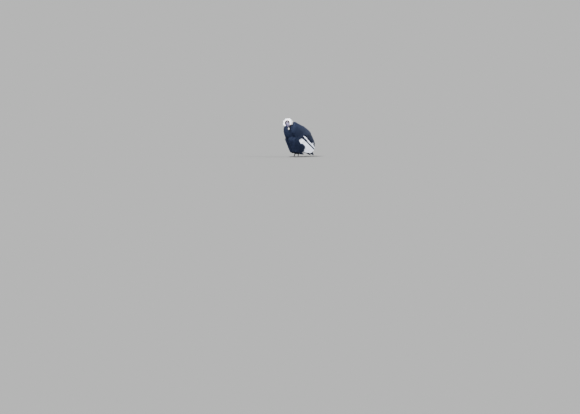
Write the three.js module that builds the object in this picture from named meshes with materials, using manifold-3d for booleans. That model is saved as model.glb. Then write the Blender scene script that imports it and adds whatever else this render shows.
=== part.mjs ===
// Andean condor, an adult male that stands with folded wings, its neck turned to its left and its
// head bowed. Life size, in millimetres, +Z up. It faces -Y, its left side is +X, and its soles
// rest on z = 0.
// The origin is under the middle of the whole bird.
import * as THREE from "three";
import Module from "manifold-3d";

const wasm = await Module();
wasm.setup();

// Driving dimensions
const GAP = 0.7; // between neighbours, so that they touch face to face and never overlap
const BIRD_SHIFT = -33; // Y, puts the origin under the middle of the bird

// The back and the folded wings slope down to the rear. Places on the body are given as
// along (down the slope), up (square to it, towards the back) and side (towards the left).
const SLOPE = THREE.MathUtils.degToRad(42);
const SHOULDER_Y = -200;
const SHOULDER_Z = 690;

// Torso, feathers included
const TORSO_TOP = [
  [-115, 60], [-80, 104], [-30, 144], [50, 176], [150, 198],
  [250, 205], [340, 190], [410, 152], [460, 104], [490, 66],
];
const TORSO_BOTTOM = [
  [-115, -60], [-80, -104], [-30, -150], [50, -198], [150, -229],
  [250, -226], [340, -182], [410, -108], [460, -50], [490, -22],
];
const TORSO_HALF_WIDTH = [
  [-115, 58], [-80, 92], [-30, 124], [50, 147], [150, 155],
  [250, 154], [340, 140], [410, 108], [460, 70], [490, 40],
];

// The sheet that a folded wing follows: its middle height, its rise above that and its half width
const WING_MIDDLE = [
  [-60, 10], [60, 20], [176, 35], [304, 50], [435, 50], [583, 45], [684, 35], [786, 5], [900, -40],
];
const WING_RISE = [
  [-60, 170], [60, 182], [176, 195], [304, 212], [435, 210], [583, 172], [684, 145], [786, 110], [900, 70],
];
const WING_HALF_WIDTH = [
  [-60, 118], [60, 150], [200, 160], [350, 158], [500, 148], [620, 130], [720, 106], [800, 84], [900, 56],
];
const WING_DROOP = 440; // height of the slow curve below the sheet's middle

// Folded wing
const ARM_END = 250; // along, where the arm's feathers give way to the flight feathers
const WING_LENGTH = 894; // along, tips of the longest primaries
const ARM_LIFT = 35; // of the arm's outer face off the sheet
const SECONDARIES = 12;
const GREATER_COVERTS = 8;
const MEDIAN_COVERTS = 8;
const TERTIALS = 5;
const SCAPULARS = 5;
const PRIMARIES = 6;
const ARM_TOP = [[-52, 128], [-20, 158], [60, 186], [150, 214], [250, 232]];
const ARM_BOTTOM = [[-52, 96], [-20, 8], [30, -92], [60, -112], [150, -126], [250, -132]];

// Tail
const TAIL_LENGTH = 360;
const TAIL_START = 452;
const TAIL_UP = 16;
const TAIL_DROP = THREE.MathUtils.degToRad(11.3); // below the slope of the body
const TAIL_ARCH = 260; // radius of the tail's arch across
const TAIL_FEATHERS = 12;
const TAIL_FEATHER_WIDTH = 58;
const TAIL_SPREAD = 8.5; // between neighbouring tips
const TAIL_LAYER = 2.2; // height between the feathers of the closed tail

// Legs: the feathered thigh, the bare tarsus and the toes
const LEG_SIDE = 78;
const THIGH_TOP_Z = 500;
const THIGH_BOTTOM_Z = 90;
const THIGH_MIDDLE_Y = [
  [90, -30], [107, -38], [160, -44], [241, -60], [300, -82], [361, -108], [411, -125], [500, -138],
];
const THIGH_HALF_DEPTH = [
  [90, 42], [107, 86], [160, 110], [241, 124], [300, 128], [361, 125], [411, 119], [500, 84],
];
const THIGH_HALF_WIDTH = [
  [90, 30], [107, 54], [160, 62], [241, 68], [300, 71], [361, 72], [411, 70], [500, 46],
];
const ANKLE_Y = 14;
const ANKLE_Z = 150;
const FOOT_Y = -24;
const TARSUS_RADIUS = 12;
const TOE_HEIGHT = 19;
const TOES = [
  { name: "middle", angle: 4, length: 108, radius: 9.5, claw: 30 },
  { name: "inner", angle: -34, length: 74, radius: 8.5, claw: 27 },
  { name: "outer", angle: 36, length: 80, radius: 8.5, claw: 25 },
  { name: "hind", angle: 172, length: 36, radius: 6.5, claw: 17 },
];

// Ruff and neck
const NECK_ROOT = new THREE.Vector3(4, -212, 742);
const RUFF_CENTRE = new THREE.Vector3(40, -283, 787);
const NECK_TURN = THREE.MathUtils.degToRad(45); // to the left
const NECK_RADIUS = 37;
const NECK_FOLD = 1.1; // height of the folds of loose skin
const RUFF_TURN = THREE.MathUtils.degToRad(32); // its plane turns less than the neck
const RUFF_TILT = THREE.MathUtils.degToRad(14); // its top leans back
const COLLAR_RADIUS = 62;
const COLLAR_THICKNESS = 22;
const COLLAR_DEPTH = 30;
const RUFF_ROWS = [
  { count: 18, reach: 124, lean: -14, rise: -22, halfWidth: 21 },
  { count: 17, reach: 117, lean: 10, rise: 12, halfWidth: 20 },
];
const RUFF_START = -35; // degrees round the neck, 0 towards the left shoulder and 90 up
const RUFF_END = 237;

// Head
const HEAD_CENTRE = new THREE.Vector3(126, -328, 752);
const FACING = THREE.MathUtils.degToRad(57); // the crown faces this far round to the left
const HEAD_LEAN = THREE.MathUtils.degToRad(11); // the bill points down, and this far to the rear
const SKULL_LENGTH = 100;
const BILL_LENGTH = 74;
const EYE_RADIUS = 7.5;
const EYE_AHEAD = 16;
const EYE_SIDE = 21.5;
const EYE_UP = 7;
const LID_RADIUS = 7.5;
const COMB_LOBE = 1.6; // height of the comb's lobes
const WATTLE_WAVE = 1.5; // height of the waves along the wattle's folds

// A smooth curve through a few keys of [place, value]
function profile(keys) {
  return (at) => {
    const last = keys.length - 1;
    let k = 0;
    while (k < last - 1 && at > keys[k + 1][0]) k++;
    const slopeAt = (i) => {
      const before = keys[Math.max(i - 1, 0)];
      const after = keys[Math.min(i + 1, last)];
      return (after[1] - before[1]) / (after[0] - before[0]);
    };
    const span = keys[k + 1][0] - keys[k][0];
    const t = THREE.MathUtils.clamp((at - keys[k][0]) / span, 0, 1);
    const rise = t * t * (3 - 2 * t);
    const lead = t * (1 - t) * (1 - t) * span * slopeAt(k);
    const trail = t * t * (t - 1) * span * slopeAt(k + 1);
    return keys[k][1] + (keys[k + 1][1] - keys[k][1]) * rise + lead + trail;
  };
}

const torsoTop = profile(TORSO_TOP);
const torsoBottom = profile(TORSO_BOTTOM);
const torsoHalfWidth = profile(TORSO_HALF_WIDTH);
const wingMiddle = profile(WING_MIDDLE);
const wingRise = profile(WING_RISE);
const wingHalfWidth = profile(WING_HALF_WIDTH);
const armTop = profile(ARM_TOP);
const armBottom = profile(ARM_BOTTOM);

// A point of the body from its place along, up and side
function bodyPoint(along, up, side) {
  return new THREE.Vector3(
    side,
    SHOULDER_Y + along * Math.cos(SLOPE) + up * Math.sin(SLOPE),
    SHOULDER_Z - along * Math.sin(SLOPE) + up * Math.cos(SLOPE),
  );
}

// How far to the side the wing's sheet lies
function wingSide(along, up) {
  const middle = wingMiddle(along);
  const reach = up > middle ? wingRise(along) : WING_DROOP;
  const t = Math.min(Math.abs(up - middle) / reach, 0.985);
  return wingHalfWidth(along) * Math.sqrt(1 - t * t);
}

// A point of the left wing, lifted off its sheet
function wingPoint(along, up, lift) {
  const step = 2;
  const here = bodyPoint(along, up, wingSide(along, up));
  const rear = bodyPoint(along + step, up, wingSide(along + step, up));
  const above = bodyPoint(along, up + step, wingSide(along, up + step));
  const outward = above.sub(here).cross(rear.sub(here)).normalize();
  if (outward.x < 0) outward.negate();
  return here.addScaledVector(outward, lift);
}

// A closed skin over rings of points. Neighbouring sides are split along mirrored diagonals, so that
// the two faces of a thin blade are split alike, and each end is closed by strips from side to side.
function loft(rings) {
  const count = rings[0].length;
  const faces = [];
  for (let r = 0; r < rings.length - 1; r++) {
    for (let i = 0; i < count; i++) {
      const here = r * count + i;
      const next = r * count + ((i + 1) % count);
      if (i % 2) faces.push(here, next, here + count, next, next + count, here + count);
      else faces.push(here, next, next + count, here, next + count, here + count);
    }
  }
  const end = (rings.length - 1) * count;
  for (let low = 0; low < count / 2 - 1; low++) {
    const high = count - 1 - low;
    faces.push(high, low + 1, low, end + low, end + low + 1, end + high);
    if (high - low > 2) {
      faces.push(high, high - 1, low + 1, end + low + 1, end + high - 1, end + high);
    }
  }
  return { points: rings.flat(), faces };
}

// A closed tube over rings of points, its last ring joined to its first
function closedLoop(rings) {
  const count = rings[0].length;
  const faces = [];
  rings.forEach((ring, r) => {
    const start = r * count;
    const onward = ((r + 1) % rings.length) * count;
    for (let i = 0; i < count; i++) {
      const j = (i + 1) % count;
      faces.push(start + i, start + j, onward + j, start + i, onward + j, onward + i);
    }
  });
  return { points: rings.flat(), faces };
}

// The volume inside a skin, negative when its faces point inwards
function skinVolume({ points, faces }) {
  let sum = 0;
  for (let i = 0; i < faces.length; i += 3) {
    const [a, b, c] = [points[faces[i]], points[faces[i + 1]], points[faces[i + 2]]];
    sum += a.dot(b.clone().cross(c));
  }
  return sum / 6;
}

// A skin as a solid, its surface moved outwards by grow
function solidOf(skin, grow = 0) {
  const turned = skinVolume(skin) < 0;
  const faces = turned ? skin.faces.toReversed() : skin.faces;
  const normals = skin.points.map(() => new THREE.Vector3());
  for (let i = 0; i < faces.length; i += 3) {
    const corners = [faces[i], faces[i + 1], faces[i + 2]];
    const [a, b, c] = corners.map((corner) => skin.points[corner]);
    const normal = b.clone().sub(a).cross(c.clone().sub(a));
    for (const corner of corners) normals[corner].add(normal);
  }
  const moved = skin.points.map((point, i) => {
    return point.clone().addScaledVector(normals[i].normalize(), grow);
  });
  const vertProperties = new Float32Array(moved.flatMap((point) => point.toArray()));
  const triVerts = new Uint32Array(faces);
  return new wasm.Manifold(new wasm.Mesh({ numProp: 3, vertProperties, triVerts }));
}

// The skins of one node joined to a single solid
function join(skins, grow = 0) {
  return skins.map((skin) => solidOf(skin, grow)).reduce((whole, piece) => whole.add(piece));
}

// A node's solid from its skins, cut clear of the skins of its neighbours
function node(skins, neighbours = []) {
  let whole = join(skins);
  for (const other of neighbours) whole = whole.subtract(join(other, GAP));
  const bodies = whole.decompose();
  return bodies.reduce((best, body) => (body.volume() > best.volume() ? body : best));
}

function mirrored(skin) {
  const points = skin.points.map((point) => new THREE.Vector3(-point.x, point.y, point.z));
  return { points, faces: skin.faces };
}

const PAIR = [
  { side: "left", place: (skin) => skin },
  { side: "right", place: mirrored },
];

// Torso: one loft of ovals down the slope of the body
function torsoSkin() {
  const stations = 13;
  const around = 20;
  const start = TORSO_TOP[0][0];
  const end = TORSO_TOP.at(-1)[0];
  const rings = [];
  for (let s = 0; s <= stations; s++) {
    const along = start + ((end - start) * s) / stations;
    const top = torsoTop(along);
    const bottom = torsoBottom(along);
    const middle = (top + bottom) / 2;
    const ring = [];
    for (let i = 0; i < around; i++) {
      const turn = (2 * Math.PI * i) / around;
      const up = middle + ((top - bottom) / 2) * Math.cos(turn);
      ring.push(bodyPoint(along, up, torsoHalfWidth(along) * Math.sin(turn)));
    }
    rings.push(ring);
  }
  return loft(rings);
}

// A pad on the wing's sheet between two edges, from an inner lift to an outer lift off the sheet
function wingPad(stations, bottomAt, topAt, innerAt, outerAt) {
  const across = 8;
  const edge = 2;
  const rings = stations.map((along) => {
    const bottom = bottomAt(along);
    const top = topAt(along);
    const inner = innerAt(along);
    const ring = [];
    for (let i = 0; i <= across; i++) {
      const t = i / across;
      const swell = Math.sqrt(Math.max(0, 1 - (2 * t - 1) ** 4));
      const lift = inner + edge + (outerAt(along) - inner - edge) * swell;
      ring.push(wingPoint(along, bottom + (top - bottom) * t, lift));
    }
    for (let i = across; i >= 0; i--) {
      ring.push(wingPoint(along, bottom + ((top - bottom) * i) / across, inner));
    }
    return ring;
  });
  return loft(rings);
}

// A feather on a sheet: a thin blade from root to tip, thickest along its shaft.
// A tilt lifts the edge on the side of the lower places, so that it lies over the next feather there.
function feather(sheet, { root, tip, bow, halfWidth, lift, tilt, thickness, outline }) {
  const run = new THREE.Vector2(tip[0] - root[0], tip[1] - root[1]);
  const across = new THREE.Vector2(-run.y, run.x).normalize();
  const rings = outline.map(([t, width]) => {
    const bend = bow * 4 * t * (1 - t);
    const along = root[0] + run.x * t + across.x * bend;
    const up = root[1] + run.y * t + across.y * bend;
    const half = halfWidth * width;
    const middle = lift[0] + (lift[1] - lift[0]) * t;
    const shaft = (thickness / 2) * (1 - 0.5 * t);
    return [
      sheet(along - across.x * half, up - across.y * half, middle + tilt * half),
      sheet(along, up, middle + shaft),
      sheet(along + across.x * half, up + across.y * half, middle - tilt * half),
      sheet(along, up, middle - shaft),
    ];
  });
  return loft(rings);
}

const FLIGHT_OUTLINE = [[0, 0.45], [0.3, 0.92], [0.6, 1], [0.85, 0.95], [0.96, 0.62], [1, 0.2]];
const COVERT_OUTLINE = [[0, 0.5], [0.4, 0.95], [0.75, 1], [0.94, 0.62], [1, 0.2]];
const TAIL_OUTLINE = [[0, 0.6], [0.5, 1], [0.93, 0.9], [1, 0.35]];
const PRIMARY_OUTLINE = [[0, 0.6], [0.35, 1], [0.7, 0.92], [0.92, 0.6], [1, 0.15]];

// A number that looks random but is the same for the same seed, from -1 to 1
function scatter(seed) {
  const wave = Math.sin(seed * 127.1 + 311.7) * 43758.5453;
  return 2 * (wave - Math.floor(wave)) - 1;
}

// A row of feathers whose roots and tips run along smooth lines, from the lowest to the highest
function wingRow(count, { rootAt, tipAt, liftAt, uneven, ...look }) {
  const row = [];
  for (let i = 0; i < count; i++) {
    const t = i / (count - 1);
    const seed = count * 7 + i;
    const tip = tipAt(t);
    tip[0] += uneven * scatter(seed);
    tip[1] += uneven * 0.4 * scatter(seed + 0.5);
    row.push(feather(wingPoint, { ...look, root: rootAt(t), tip, lift: liftAt(t) }));
  }
  return row;
}

function mix(a, b, t) {
  return a + (b - a) * t;
}

// The arm with its small feathers, from the shoulder and the wrist to the flight feathers
function armSkin() {
  const stations = [-52, -35, -10, 25, 60, 110, 160, 210, ARM_END];
  const inner = profile([[-52, -18], [120, -18], [ARM_END, 0]]);
  const outer = profile([[-52, 6], [-10, 26], [60, ARM_LIFT], [180, ARM_LIFT], [ARM_END, ARM_LIFT - 2]]);
  return wingPad(stations, armBottom, armTop, inner, outer);
}

// Median coverts, the last black row over the white ones
function medianCovertSkins() {
  return wingRow(MEDIAN_COVERTS, {
    rootAt: (t) => [205, mix(-110, 64, t)],
    tipAt: (t) => [mix(300, 322, t), mix(-126, 62, t)],
    liftAt: () => [27, 40],
    halfWidth: 25,
    bow: 0,
    tilt: 0.11,
    thickness: 2.2,
    uneven: 4,
    outline: COVERT_OUTLINE,
  });
}

// Scapulars and tertials, the long black feathers along the back
function backFeatherSkins() {
  const tertials = wingRow(TERTIALS, {
    rootAt: (t) => [228, mix(98, 188, t)],
    tipAt: (t) => [mix(728, 560, t), mix(112, 178, t)],
    liftAt: (t) => [mix(22, 18, t), 27],
    halfWidth: 36,
    bow: 6,
    tilt: 0.14,
    thickness: 2.6,
    uneven: 5,
    outline: FLIGHT_OUTLINE,
  });
  const scapulars = wingRow(SCAPULARS, {
    rootAt: (t) => [mix(198, 176, t), mix(76, 180, t)],
    tipAt: (t) => [mix(400, 470, t), mix(92, 204, t)],
    liftAt: (t) => [mix(26, 20, t), mix(38, 36, t)],
    halfWidth: 31,
    bow: 4,
    tilt: 0.15,
    thickness: 2.4,
    uneven: 8,
    outline: COVERT_OUTLINE,
  });
  return [...tertials, ...scapulars];
}

// The skin and small feathers that the secondaries and their white coverts grow from
function secondaryRootSkin() {
  const stations = [ARM_END + GAP, 275, 300];
  return wingPad(stations, () => -128, () => 82, () => 14, () => 27);
}

// Secondaries in a fan, and the white greater coverts over their roots
function secondarySkins() {
  const tipAlong = profile([[0, 612], [0.25, 696], [0.5, 768], [0.7, 798], [0.85, 794], [1, 760]]);
  const tipUp = profile([[0, -194], [0.25, -164], [0.5, -105], [0.7, -42], [0.85, 18], [1, 78]]);
  const secondaries = wingRow(SECONDARIES, {
    rootAt: (t) => [262, mix(-106, 66, t)],
    tipAt: (t) => [tipAlong(t), tipUp(t)],
    liftAt: () => [20, 20],
    halfWidth: 36,
    bow: 4,
    tilt: 0.15,
    thickness: 2.4,
    uneven: 5,
    outline: FLIGHT_OUTLINE,
  });
  const coverts = wingRow(GREATER_COVERTS, {
    rootAt: (t) => [258, mix(-106, 62, t)],
    tipAt: (t) => [mix(388, 452, t), mix(-142, 64, t)],
    liftAt: () => [25, 31],
    halfWidth: 28,
    bow: 0,
    tilt: 0.11,
    thickness: 1.8,
    uneven: 4,
    outline: COVERT_OUTLINE,
  });
  return [...secondaries, ...coverts];
}

// The primaries, folded under the secondaries and reaching past them
function primaryRootSkin() {
  const stations = [ARM_END + GAP, 275, 300];
  return wingPad(stations, () => -128, () => -40, () => 1.5, () => 12.5);
}

function primarySkins() {
  const tipAlong = profile([[0, 842], [0.3, WING_LENGTH], [0.6, 878], [1, 800]]);
  const tipUp = profile([[0, -100], [0.3, -80], [0.6, -64], [1, -50]]);
  return wingRow(PRIMARIES, {
    rootAt: (t) => [262, mix(-116, -54, t)],
    tipAt: (t) => [tipAlong(t), tipUp(t)],
    liftAt: () => [6.5, 6.5],
    halfWidth: 25,
    bow: -4,
    tilt: 0.2,
    thickness: 1.5,
    uneven: 3,
    outline: PRIMARY_OUTLINE,
  });
}

// A point of the tail: along it from its root, across it and lifted off its arched sheet
function tailPoint(along, across, lift) {
  const droop = (across * across) / (2 * TAIL_ARCH);
  return bodyPoint(
    TAIL_START + along * Math.cos(TAIL_DROP) + (lift - droop) * Math.sin(TAIL_DROP),
    TAIL_UP - along * Math.sin(TAIL_DROP) + (lift - droop) * Math.cos(TAIL_DROP),
    across,
  );
}

// The tail's fleshy root with its coverts
function tailRootSkin() {
  const rings = [[0, 44, 16], [30, 47, 15], [70, 46, 12], [105, 36, 7]].map(([along, half, thick]) => {
    const ring = [];
    const around = 12;
    for (let i = 0; i < around; i++) {
      const turn = (2 * Math.PI * i) / around;
      ring.push(tailPoint(along, half * Math.sin(turn), thick * Math.cos(turn)));
    }
    return ring;
  });
  return loft(rings);
}

// Tail feathers, the middle pair on top
function tailFeatherSkins() {
  const feathers = [];
  for (const side of [-1, 1]) {
    for (let i = 0; i < TAIL_FEATHERS / 2; i++) {
      const rank = (i + 0.5) * side;
      const layer = 2 * i + (side > 0 ? 1 : 0);
      const length = TAIL_LENGTH - 3 * i + 4 * scatter(i + side * 20);
      feathers.push(
        feather(tailPoint, {
          root: [12, rank * 6],
          tip: [length, rank * TAIL_SPREAD],
          bow: 0,
          halfWidth: TAIL_FEATHER_WIDTH / 2,
          lift: [6 - layer, 12 - TAIL_LAYER * layer],
          tilt: 0,
          thickness: TAIL_LAYER - 0.5,
          outline: TAIL_OUTLINE,
        }),
      );
    }
  }
  return feathers;
}

// A level oval ring
function levelRing(centre, halfWidth, halfDepth, around) {
  const ring = [];
  for (let i = 0; i < around; i++) {
    const turn = (2 * Math.PI * i) / around;
    const offset = new THREE.Vector3(halfWidth * Math.sin(turn), halfDepth * Math.cos(turn), 0);
    ring.push(offset.add(centre));
  }
  return ring;
}

// Feathered thigh, from inside the belly down to just above the bare leg
function thighSkin() {
  const centreY = profile(THIGH_MIDDLE_Y);
  const halfDepth = profile(THIGH_HALF_DEPTH);
  const halfWidth = profile(THIGH_HALF_WIDTH);
  const heights = [THIGH_BOTTOM_Z, 97, 112, 150, 200, 250, 300, 350, 400, 450, THIGH_TOP_Z];
  const rings = heights.map((z) => {
    const centre = new THREE.Vector3(LEG_SIDE - 4, centreY(z), z);
    return levelRing(centre, halfWidth(z), halfDepth(z), 16);
  });
  return loft(rings);
}

// Bare scaly lower leg
function tarsusSkin() {
  const steps = 5;
  const rings = [];
  for (let s = 0; s <= steps; s++) {
    const t = s / steps;
    const z = ANKLE_Z + (TOE_HEIGHT - 6 - ANKLE_Z) * t;
    const centre = new THREE.Vector3(LEG_SIDE, ANKLE_Y + (FOOT_Y - ANKLE_Y) * t, z);
    const wide = TARSUS_RADIUS * (1 + 0.25 * (2 * t - 1) ** 4);
    rings.push(levelRing(centre, wide, wide * 1.15, 10));
  }
  return loft(rings);
}

// A toe or a claw: rings square to a line of points, flat below where it meets the ground
function groundedTube(path, radii, floor, around) {
  const rings = path.map((centre, k) => {
    const before = path[Math.max(k - 1, 0)];
    const after = path[Math.min(k + 1, path.length - 1)];
    const ahead = after.clone().sub(before).normalize();
    const sideways = new THREE.Vector3(0, 0, 1).cross(ahead).normalize();
    const upward = ahead.clone().cross(sideways);
    const ring = [];
    for (let i = 0; i < around; i++) {
      const turn = (2 * Math.PI * (i + 0.5)) / around;
      const point = centre.clone();
      point.addScaledVector(sideways, radii[k] * Math.sin(turn));
      point.addScaledVector(upward, radii[k] * Math.cos(turn));
      point.z = Math.max(point.z, floor);
      ring.push(point);
    }
    return ring;
  });
  return loft(rings);
}

function toeDirection(toe) {
  const turn = THREE.MathUtils.degToRad(toe.angle);
  return new THREE.Vector3(Math.sin(turn), -Math.cos(turn), 0);
}

function toeSkin(toe) {
  const root = new THREE.Vector3(LEG_SIDE, FOOT_Y, 0);
  const raised = toe.name === "hind" ? 9 : 0;
  const path = [];
  const radii = [];
  const joints = 6;
  for (let k = 0; k <= joints; k++) {
    const t = k / joints;
    const knuckle = 1 + 0.12 * Math.cos(2 * Math.PI * t * 3);
    radii.push(toe.radius * (1.12 - 0.35 * t) * knuckle);
    const point = root.clone().addScaledVector(toeDirection(toe), toe.length * t);
    point.z = TOE_HEIGHT * 0.5 * (1 - 0.25 * t) - 1 + raised * (1 - t);
    path.push(point);
  }
  return groundedTube(path, radii, 0, 7);
}

function clawSkin(toe) {
  const root = new THREE.Vector3(LEG_SIDE, FOOT_Y, 0).addScaledVector(toeDirection(toe), toe.length - 4);
  const path = [];
  const radii = [];
  const steps = 4;
  for (let k = 0; k <= steps; k++) {
    const t = k / steps;
    const point = root.clone().addScaledVector(toeDirection(toe), toe.claw * Math.sin(t * 1.35));
    point.z = 8 + 6 * Math.sin(Math.PI * t * 0.9) - 7 * t * t;
    path.push(point);
    radii.push(Math.max(toe.radius * 0.55 * (1 - t * t * 0.85), 0.7));
  }
  return groundedTube(path, radii, 0.8, 6);
}

function footSkins() {
  const sole = levelRing(new THREE.Vector3(LEG_SIDE, FOOT_Y, 0), 17, 20, 10);
  const ankle = levelRing(new THREE.Vector3(LEG_SIDE, FOOT_Y, TOE_HEIGHT), 14, 16, 10);
  return [loft([sole, ankle]), ...TOES.map(toeSkin)];
}

// The way the neck comes out of the ruff, and the level and upward directions in the ruff's plane
const neckAhead = new THREE.Vector3(Math.sin(NECK_TURN), -Math.cos(NECK_TURN), -0.12).normalize();
const ruffLevel = new THREE.Vector3(Math.cos(RUFF_TURN), Math.sin(RUFF_TURN), 0);
const ruffAhead = new THREE.Vector3(Math.sin(RUFF_TURN), -Math.cos(RUFF_TURN), Math.tan(RUFF_TILT));
ruffAhead.normalize();
const ruffUp = ruffAhead.clone().cross(ruffLevel);

// The head's own directions: along the bill, out of the crown and to its left
const crownLevel = new THREE.Vector3(Math.sin(FACING), -Math.cos(FACING), 0);
const rearLevel = new THREE.Vector3(Math.cos(FACING), Math.sin(FACING), 0);
const billAhead = new THREE.Vector3(0, 0, -Math.cos(HEAD_LEAN));
billAhead.addScaledVector(rearLevel, Math.sin(HEAD_LEAN));
const crownUp = crownLevel.clone();
const headLeft = crownUp.clone().cross(billAhead);

// A point of the head: ahead towards the bill, left and up out of the crown
function headPoint(ahead, left, up) {
  return HEAD_CENTRE.clone()
    .addScaledVector(billAhead, ahead)
    .addScaledVector(headLeft, left)
    .addScaledVector(crownUp, up);
}

// An oval section of the head or the bill
function headRing(ahead, halfWidth, top, bottom, around) {
  const ring = [];
  for (let i = 0; i < around; i++) {
    const turn = (2 * Math.PI * i) / around;
    const up = (top + bottom) / 2 + ((top - bottom) / 2) * Math.cos(turn);
    ring.push(headPoint(ahead, halfWidth * Math.sin(turn), up));
  }
  return ring;
}

const SKULL_BACK = -52;
const FACE = SKULL_BACK + SKULL_LENGTH;
const BILL_TIP = FACE + BILL_LENGTH;

function headSkin() {
  const halfWidth = profile([[-52, 12], [-44, 22], [-25, 29], [0, 30], [20, 27], [36, 21], [FACE, 17]]);
  const top = profile([[-52, 10], [-44, 20], [-25, 29], [0, 32], [20, 30], [36, 25], [FACE, 21]]);
  const bottom = profile([[-52, -14], [-44, -24], [-25, -32], [0, -33], [20, -29], [36, -23], [FACE, -20]]);
  const stations = [-52, -44, -30, -14, 2, 16, 28, 38, FACE];
  return loft(stations.map((at) => headRing(at, halfWidth(at), top(at), bottom(at), 14)));
}

function upperBillSkin() {
  const halfWidth = profile([[FACE, 15.5], [66, 13], [85, 12], [100, 11], [112, 8], [BILL_TIP, 2.5]]);
  const top = profile([[FACE, 20], [66, 17], [85, 18], [100, 15], [112, 5], [BILL_TIP, -12]]);
  const bottom = profile([[FACE, -4], [66, -4], [85, -5], [100, -6], [112, -14], [BILL_TIP, -19]]);
  const stations = [FACE - 6, FACE, 60, 74, 88, 99, 108, 116, BILL_TIP];
  return loft(stations.map((at) => headRing(at, halfWidth(at), top(at), bottom(at), 12)));
}

function lowerBillSkin() {
  const halfWidth = profile([[FACE, 13.5], [74, 10.5], [92, 8.5], [104, 4]]);
  const top = profile([[FACE, -5.5], [74, -5.5], [92, -6.5], [104, -8]]);
  const bottom = profile([[FACE, -19], [74, -17], [92, -15], [104, -10.5]]);
  const stations = [FACE - 6, FACE, 62, 76, 90, 104];
  return loft(stations.map((at) => headRing(at, halfWidth(at), top(at), bottom(at), 10)));
}

// The male's fleshy comb along the crown and the base of the bill
function combSkin() {
  const height = profile([[-16, 30], [-4, 44], [14, 55], [34, 56], [50, 50], [64, 38], [72, 22]]);
  const halfWidth = profile([[-16, 3], [-4, 6], [14, 8.5], [34, 9], [50, 8], [64, 6], [72, 3]]);
  const stations = [-16, -8, 2, 12, 22, 32, 42, 52, 62, 72];
  const rings = stations.map((at, s) => {
    const lobe = s % 2 ? COMB_LOBE : -COMB_LOBE;
    return headRing(at, halfWidth(at) + lobe / 2, height(at) + lobe, 8, 9);
  });
  return loft(rings);
}

// Loose folds of skin that hang from the throat, a middle one and a smaller one on each side
function wattleSkins() {
  const depth = profile([[-8, -40], [8, -53], [24, -54], [40, -44], [52, -28]]);
  const stations = [-8, 4, 16, 28, 40, 52];
  const around = 6;
  return [-1, 0, 1].map((place) => {
    const rings = stations.map((at, s) => {
      const wave = s % 2 ? WATTLE_WAVE : -WATTLE_WAVE;
      const ring = [];
      for (let i = 0; i < around; i++) {
        const turn = (2 * Math.PI * i) / around;
        const top = -14;
        const bottom = (place ? 0.86 : 1) * depth(at) + wave;
        const up = (top + bottom) / 2 + ((top - bottom) / 2) * Math.cos(turn);
        const spread = place * mix(4, 12, (top - up) / 40);
        ring.push(headPoint(at, spread + 4.5 * Math.sin(turn), up));
      }
      return ring;
    });
    return loft(rings);
  });
}

// The slit of the mouth, running back into the cheek
function mouthSkin(left) {
  const rings = [[26, 0.5], [36, 1.3], [FACE + 4, 1.3]].map(([ahead, thick]) => {
    return [[10, thick], [34, thick], [34, -thick], [10, -thick]].map(([out, up]) => {
      return headPoint(ahead, out * left, up - 5.2);
    });
  });
  return loft(rings);
}

// An eyeball in its socket
function eyeSkin(left) {
  const centre = headPoint(EYE_AHEAD, EYE_SIDE * left, EYE_UP);
  const rings = [-70, -40, -12, 12, 40, 70].map((tilt) => {
    const height = Math.sin(THREE.MathUtils.degToRad(tilt)) * EYE_RADIUS;
    const radius = Math.cos(THREE.MathUtils.degToRad(tilt)) * EYE_RADIUS;
    return levelRing(centre.clone().setZ(centre.z + height), radius, radius, 8);
  });
  return loft(rings);
}

// The lids: a low swollen ring round the eye
function lidSkin(left) {
  const steps = 10;
  const around = 5;
  const rings = [];
  for (let s = 0; s < steps; s++) {
    const turn = (2 * Math.PI * s) / steps;
    const ring = [];
    for (let i = 0; i < around; i++) {
      const roll = (2 * Math.PI * i) / around;
      const radius = LID_RADIUS + 2.2 * Math.cos(roll);
      const out = EYE_SIDE + 3.2 + 2 * Math.sin(roll);
      const ahead = EYE_AHEAD + radius * 1.15 * Math.cos(turn);
      ring.push(headPoint(ahead, out * left, EYE_UP + radius * 0.85 * Math.sin(turn)));
    }
    rings.push(ring);
  }
  return closedLoop(rings);
}

// A slit right through the base of the bill, as a condor's nostrils are
function nostrilSkin() {
  const rings = [-20, 20].map((left) => {
    const ring = [];
    for (let i = 0; i < 8; i++) {
      const turn = (2 * Math.PI * i) / 8;
      ring.push(headPoint(FACE + 17 + 5.5 * Math.cos(turn), left, 8 + 2.2 * Math.sin(turn)));
    }
    return ring;
  });
  return loft(rings);
}

// Bare neck, from under the back feathers through the ruff and over to the head
function neckSkin() {
  const path = new THREE.CatmullRomCurve3([
    NECK_ROOT,
    RUFF_CENTRE.clone().addScaledVector(neckAhead, -20),
    RUFF_CENTRE.clone().addScaledVector(neckAhead, 38),
    headPoint(-36, 0, -22),
    headPoint(-16, 0, -4),
  ]);
  const steps = 16;
  const around = 10;
  const rings = [];
  for (let s = 0; s <= steps; s++) {
    const t = s / steps;
    const centre = path.getPoint(t);
    const ahead = path.getTangent(t);
    const sideways = new THREE.Vector3(0, 0, 1).cross(ahead).normalize();
    const upward = ahead.clone().cross(sideways);
    const fold = s % 2 ? NECK_FOLD : -NECK_FOLD;
    const radius = NECK_RADIUS * mix(1.25, 0.7, t) + fold;
    const ring = [];
    for (let i = 0; i < around; i++) {
      const turn = (2 * Math.PI * i) / around;
      const point = centre.clone();
      point.addScaledVector(sideways, radius * Math.sin(turn));
      point.addScaledVector(upward, radius * Math.cos(turn));
      ring.push(point);
    }
    rings.push(ring);
  }
  return loft(rings);
}

// A point of the ruff: round the neck, out from its middle and ahead along the neck
function ruffPoint(turn, radius, ahead) {
  return RUFF_CENTRE.clone()
    .addScaledVector(ruffLevel, radius * Math.cos(turn))
    .addScaledVector(ruffUp, radius * Math.sin(turn))
    .addScaledVector(ruffAhead, ahead);
}

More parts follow.
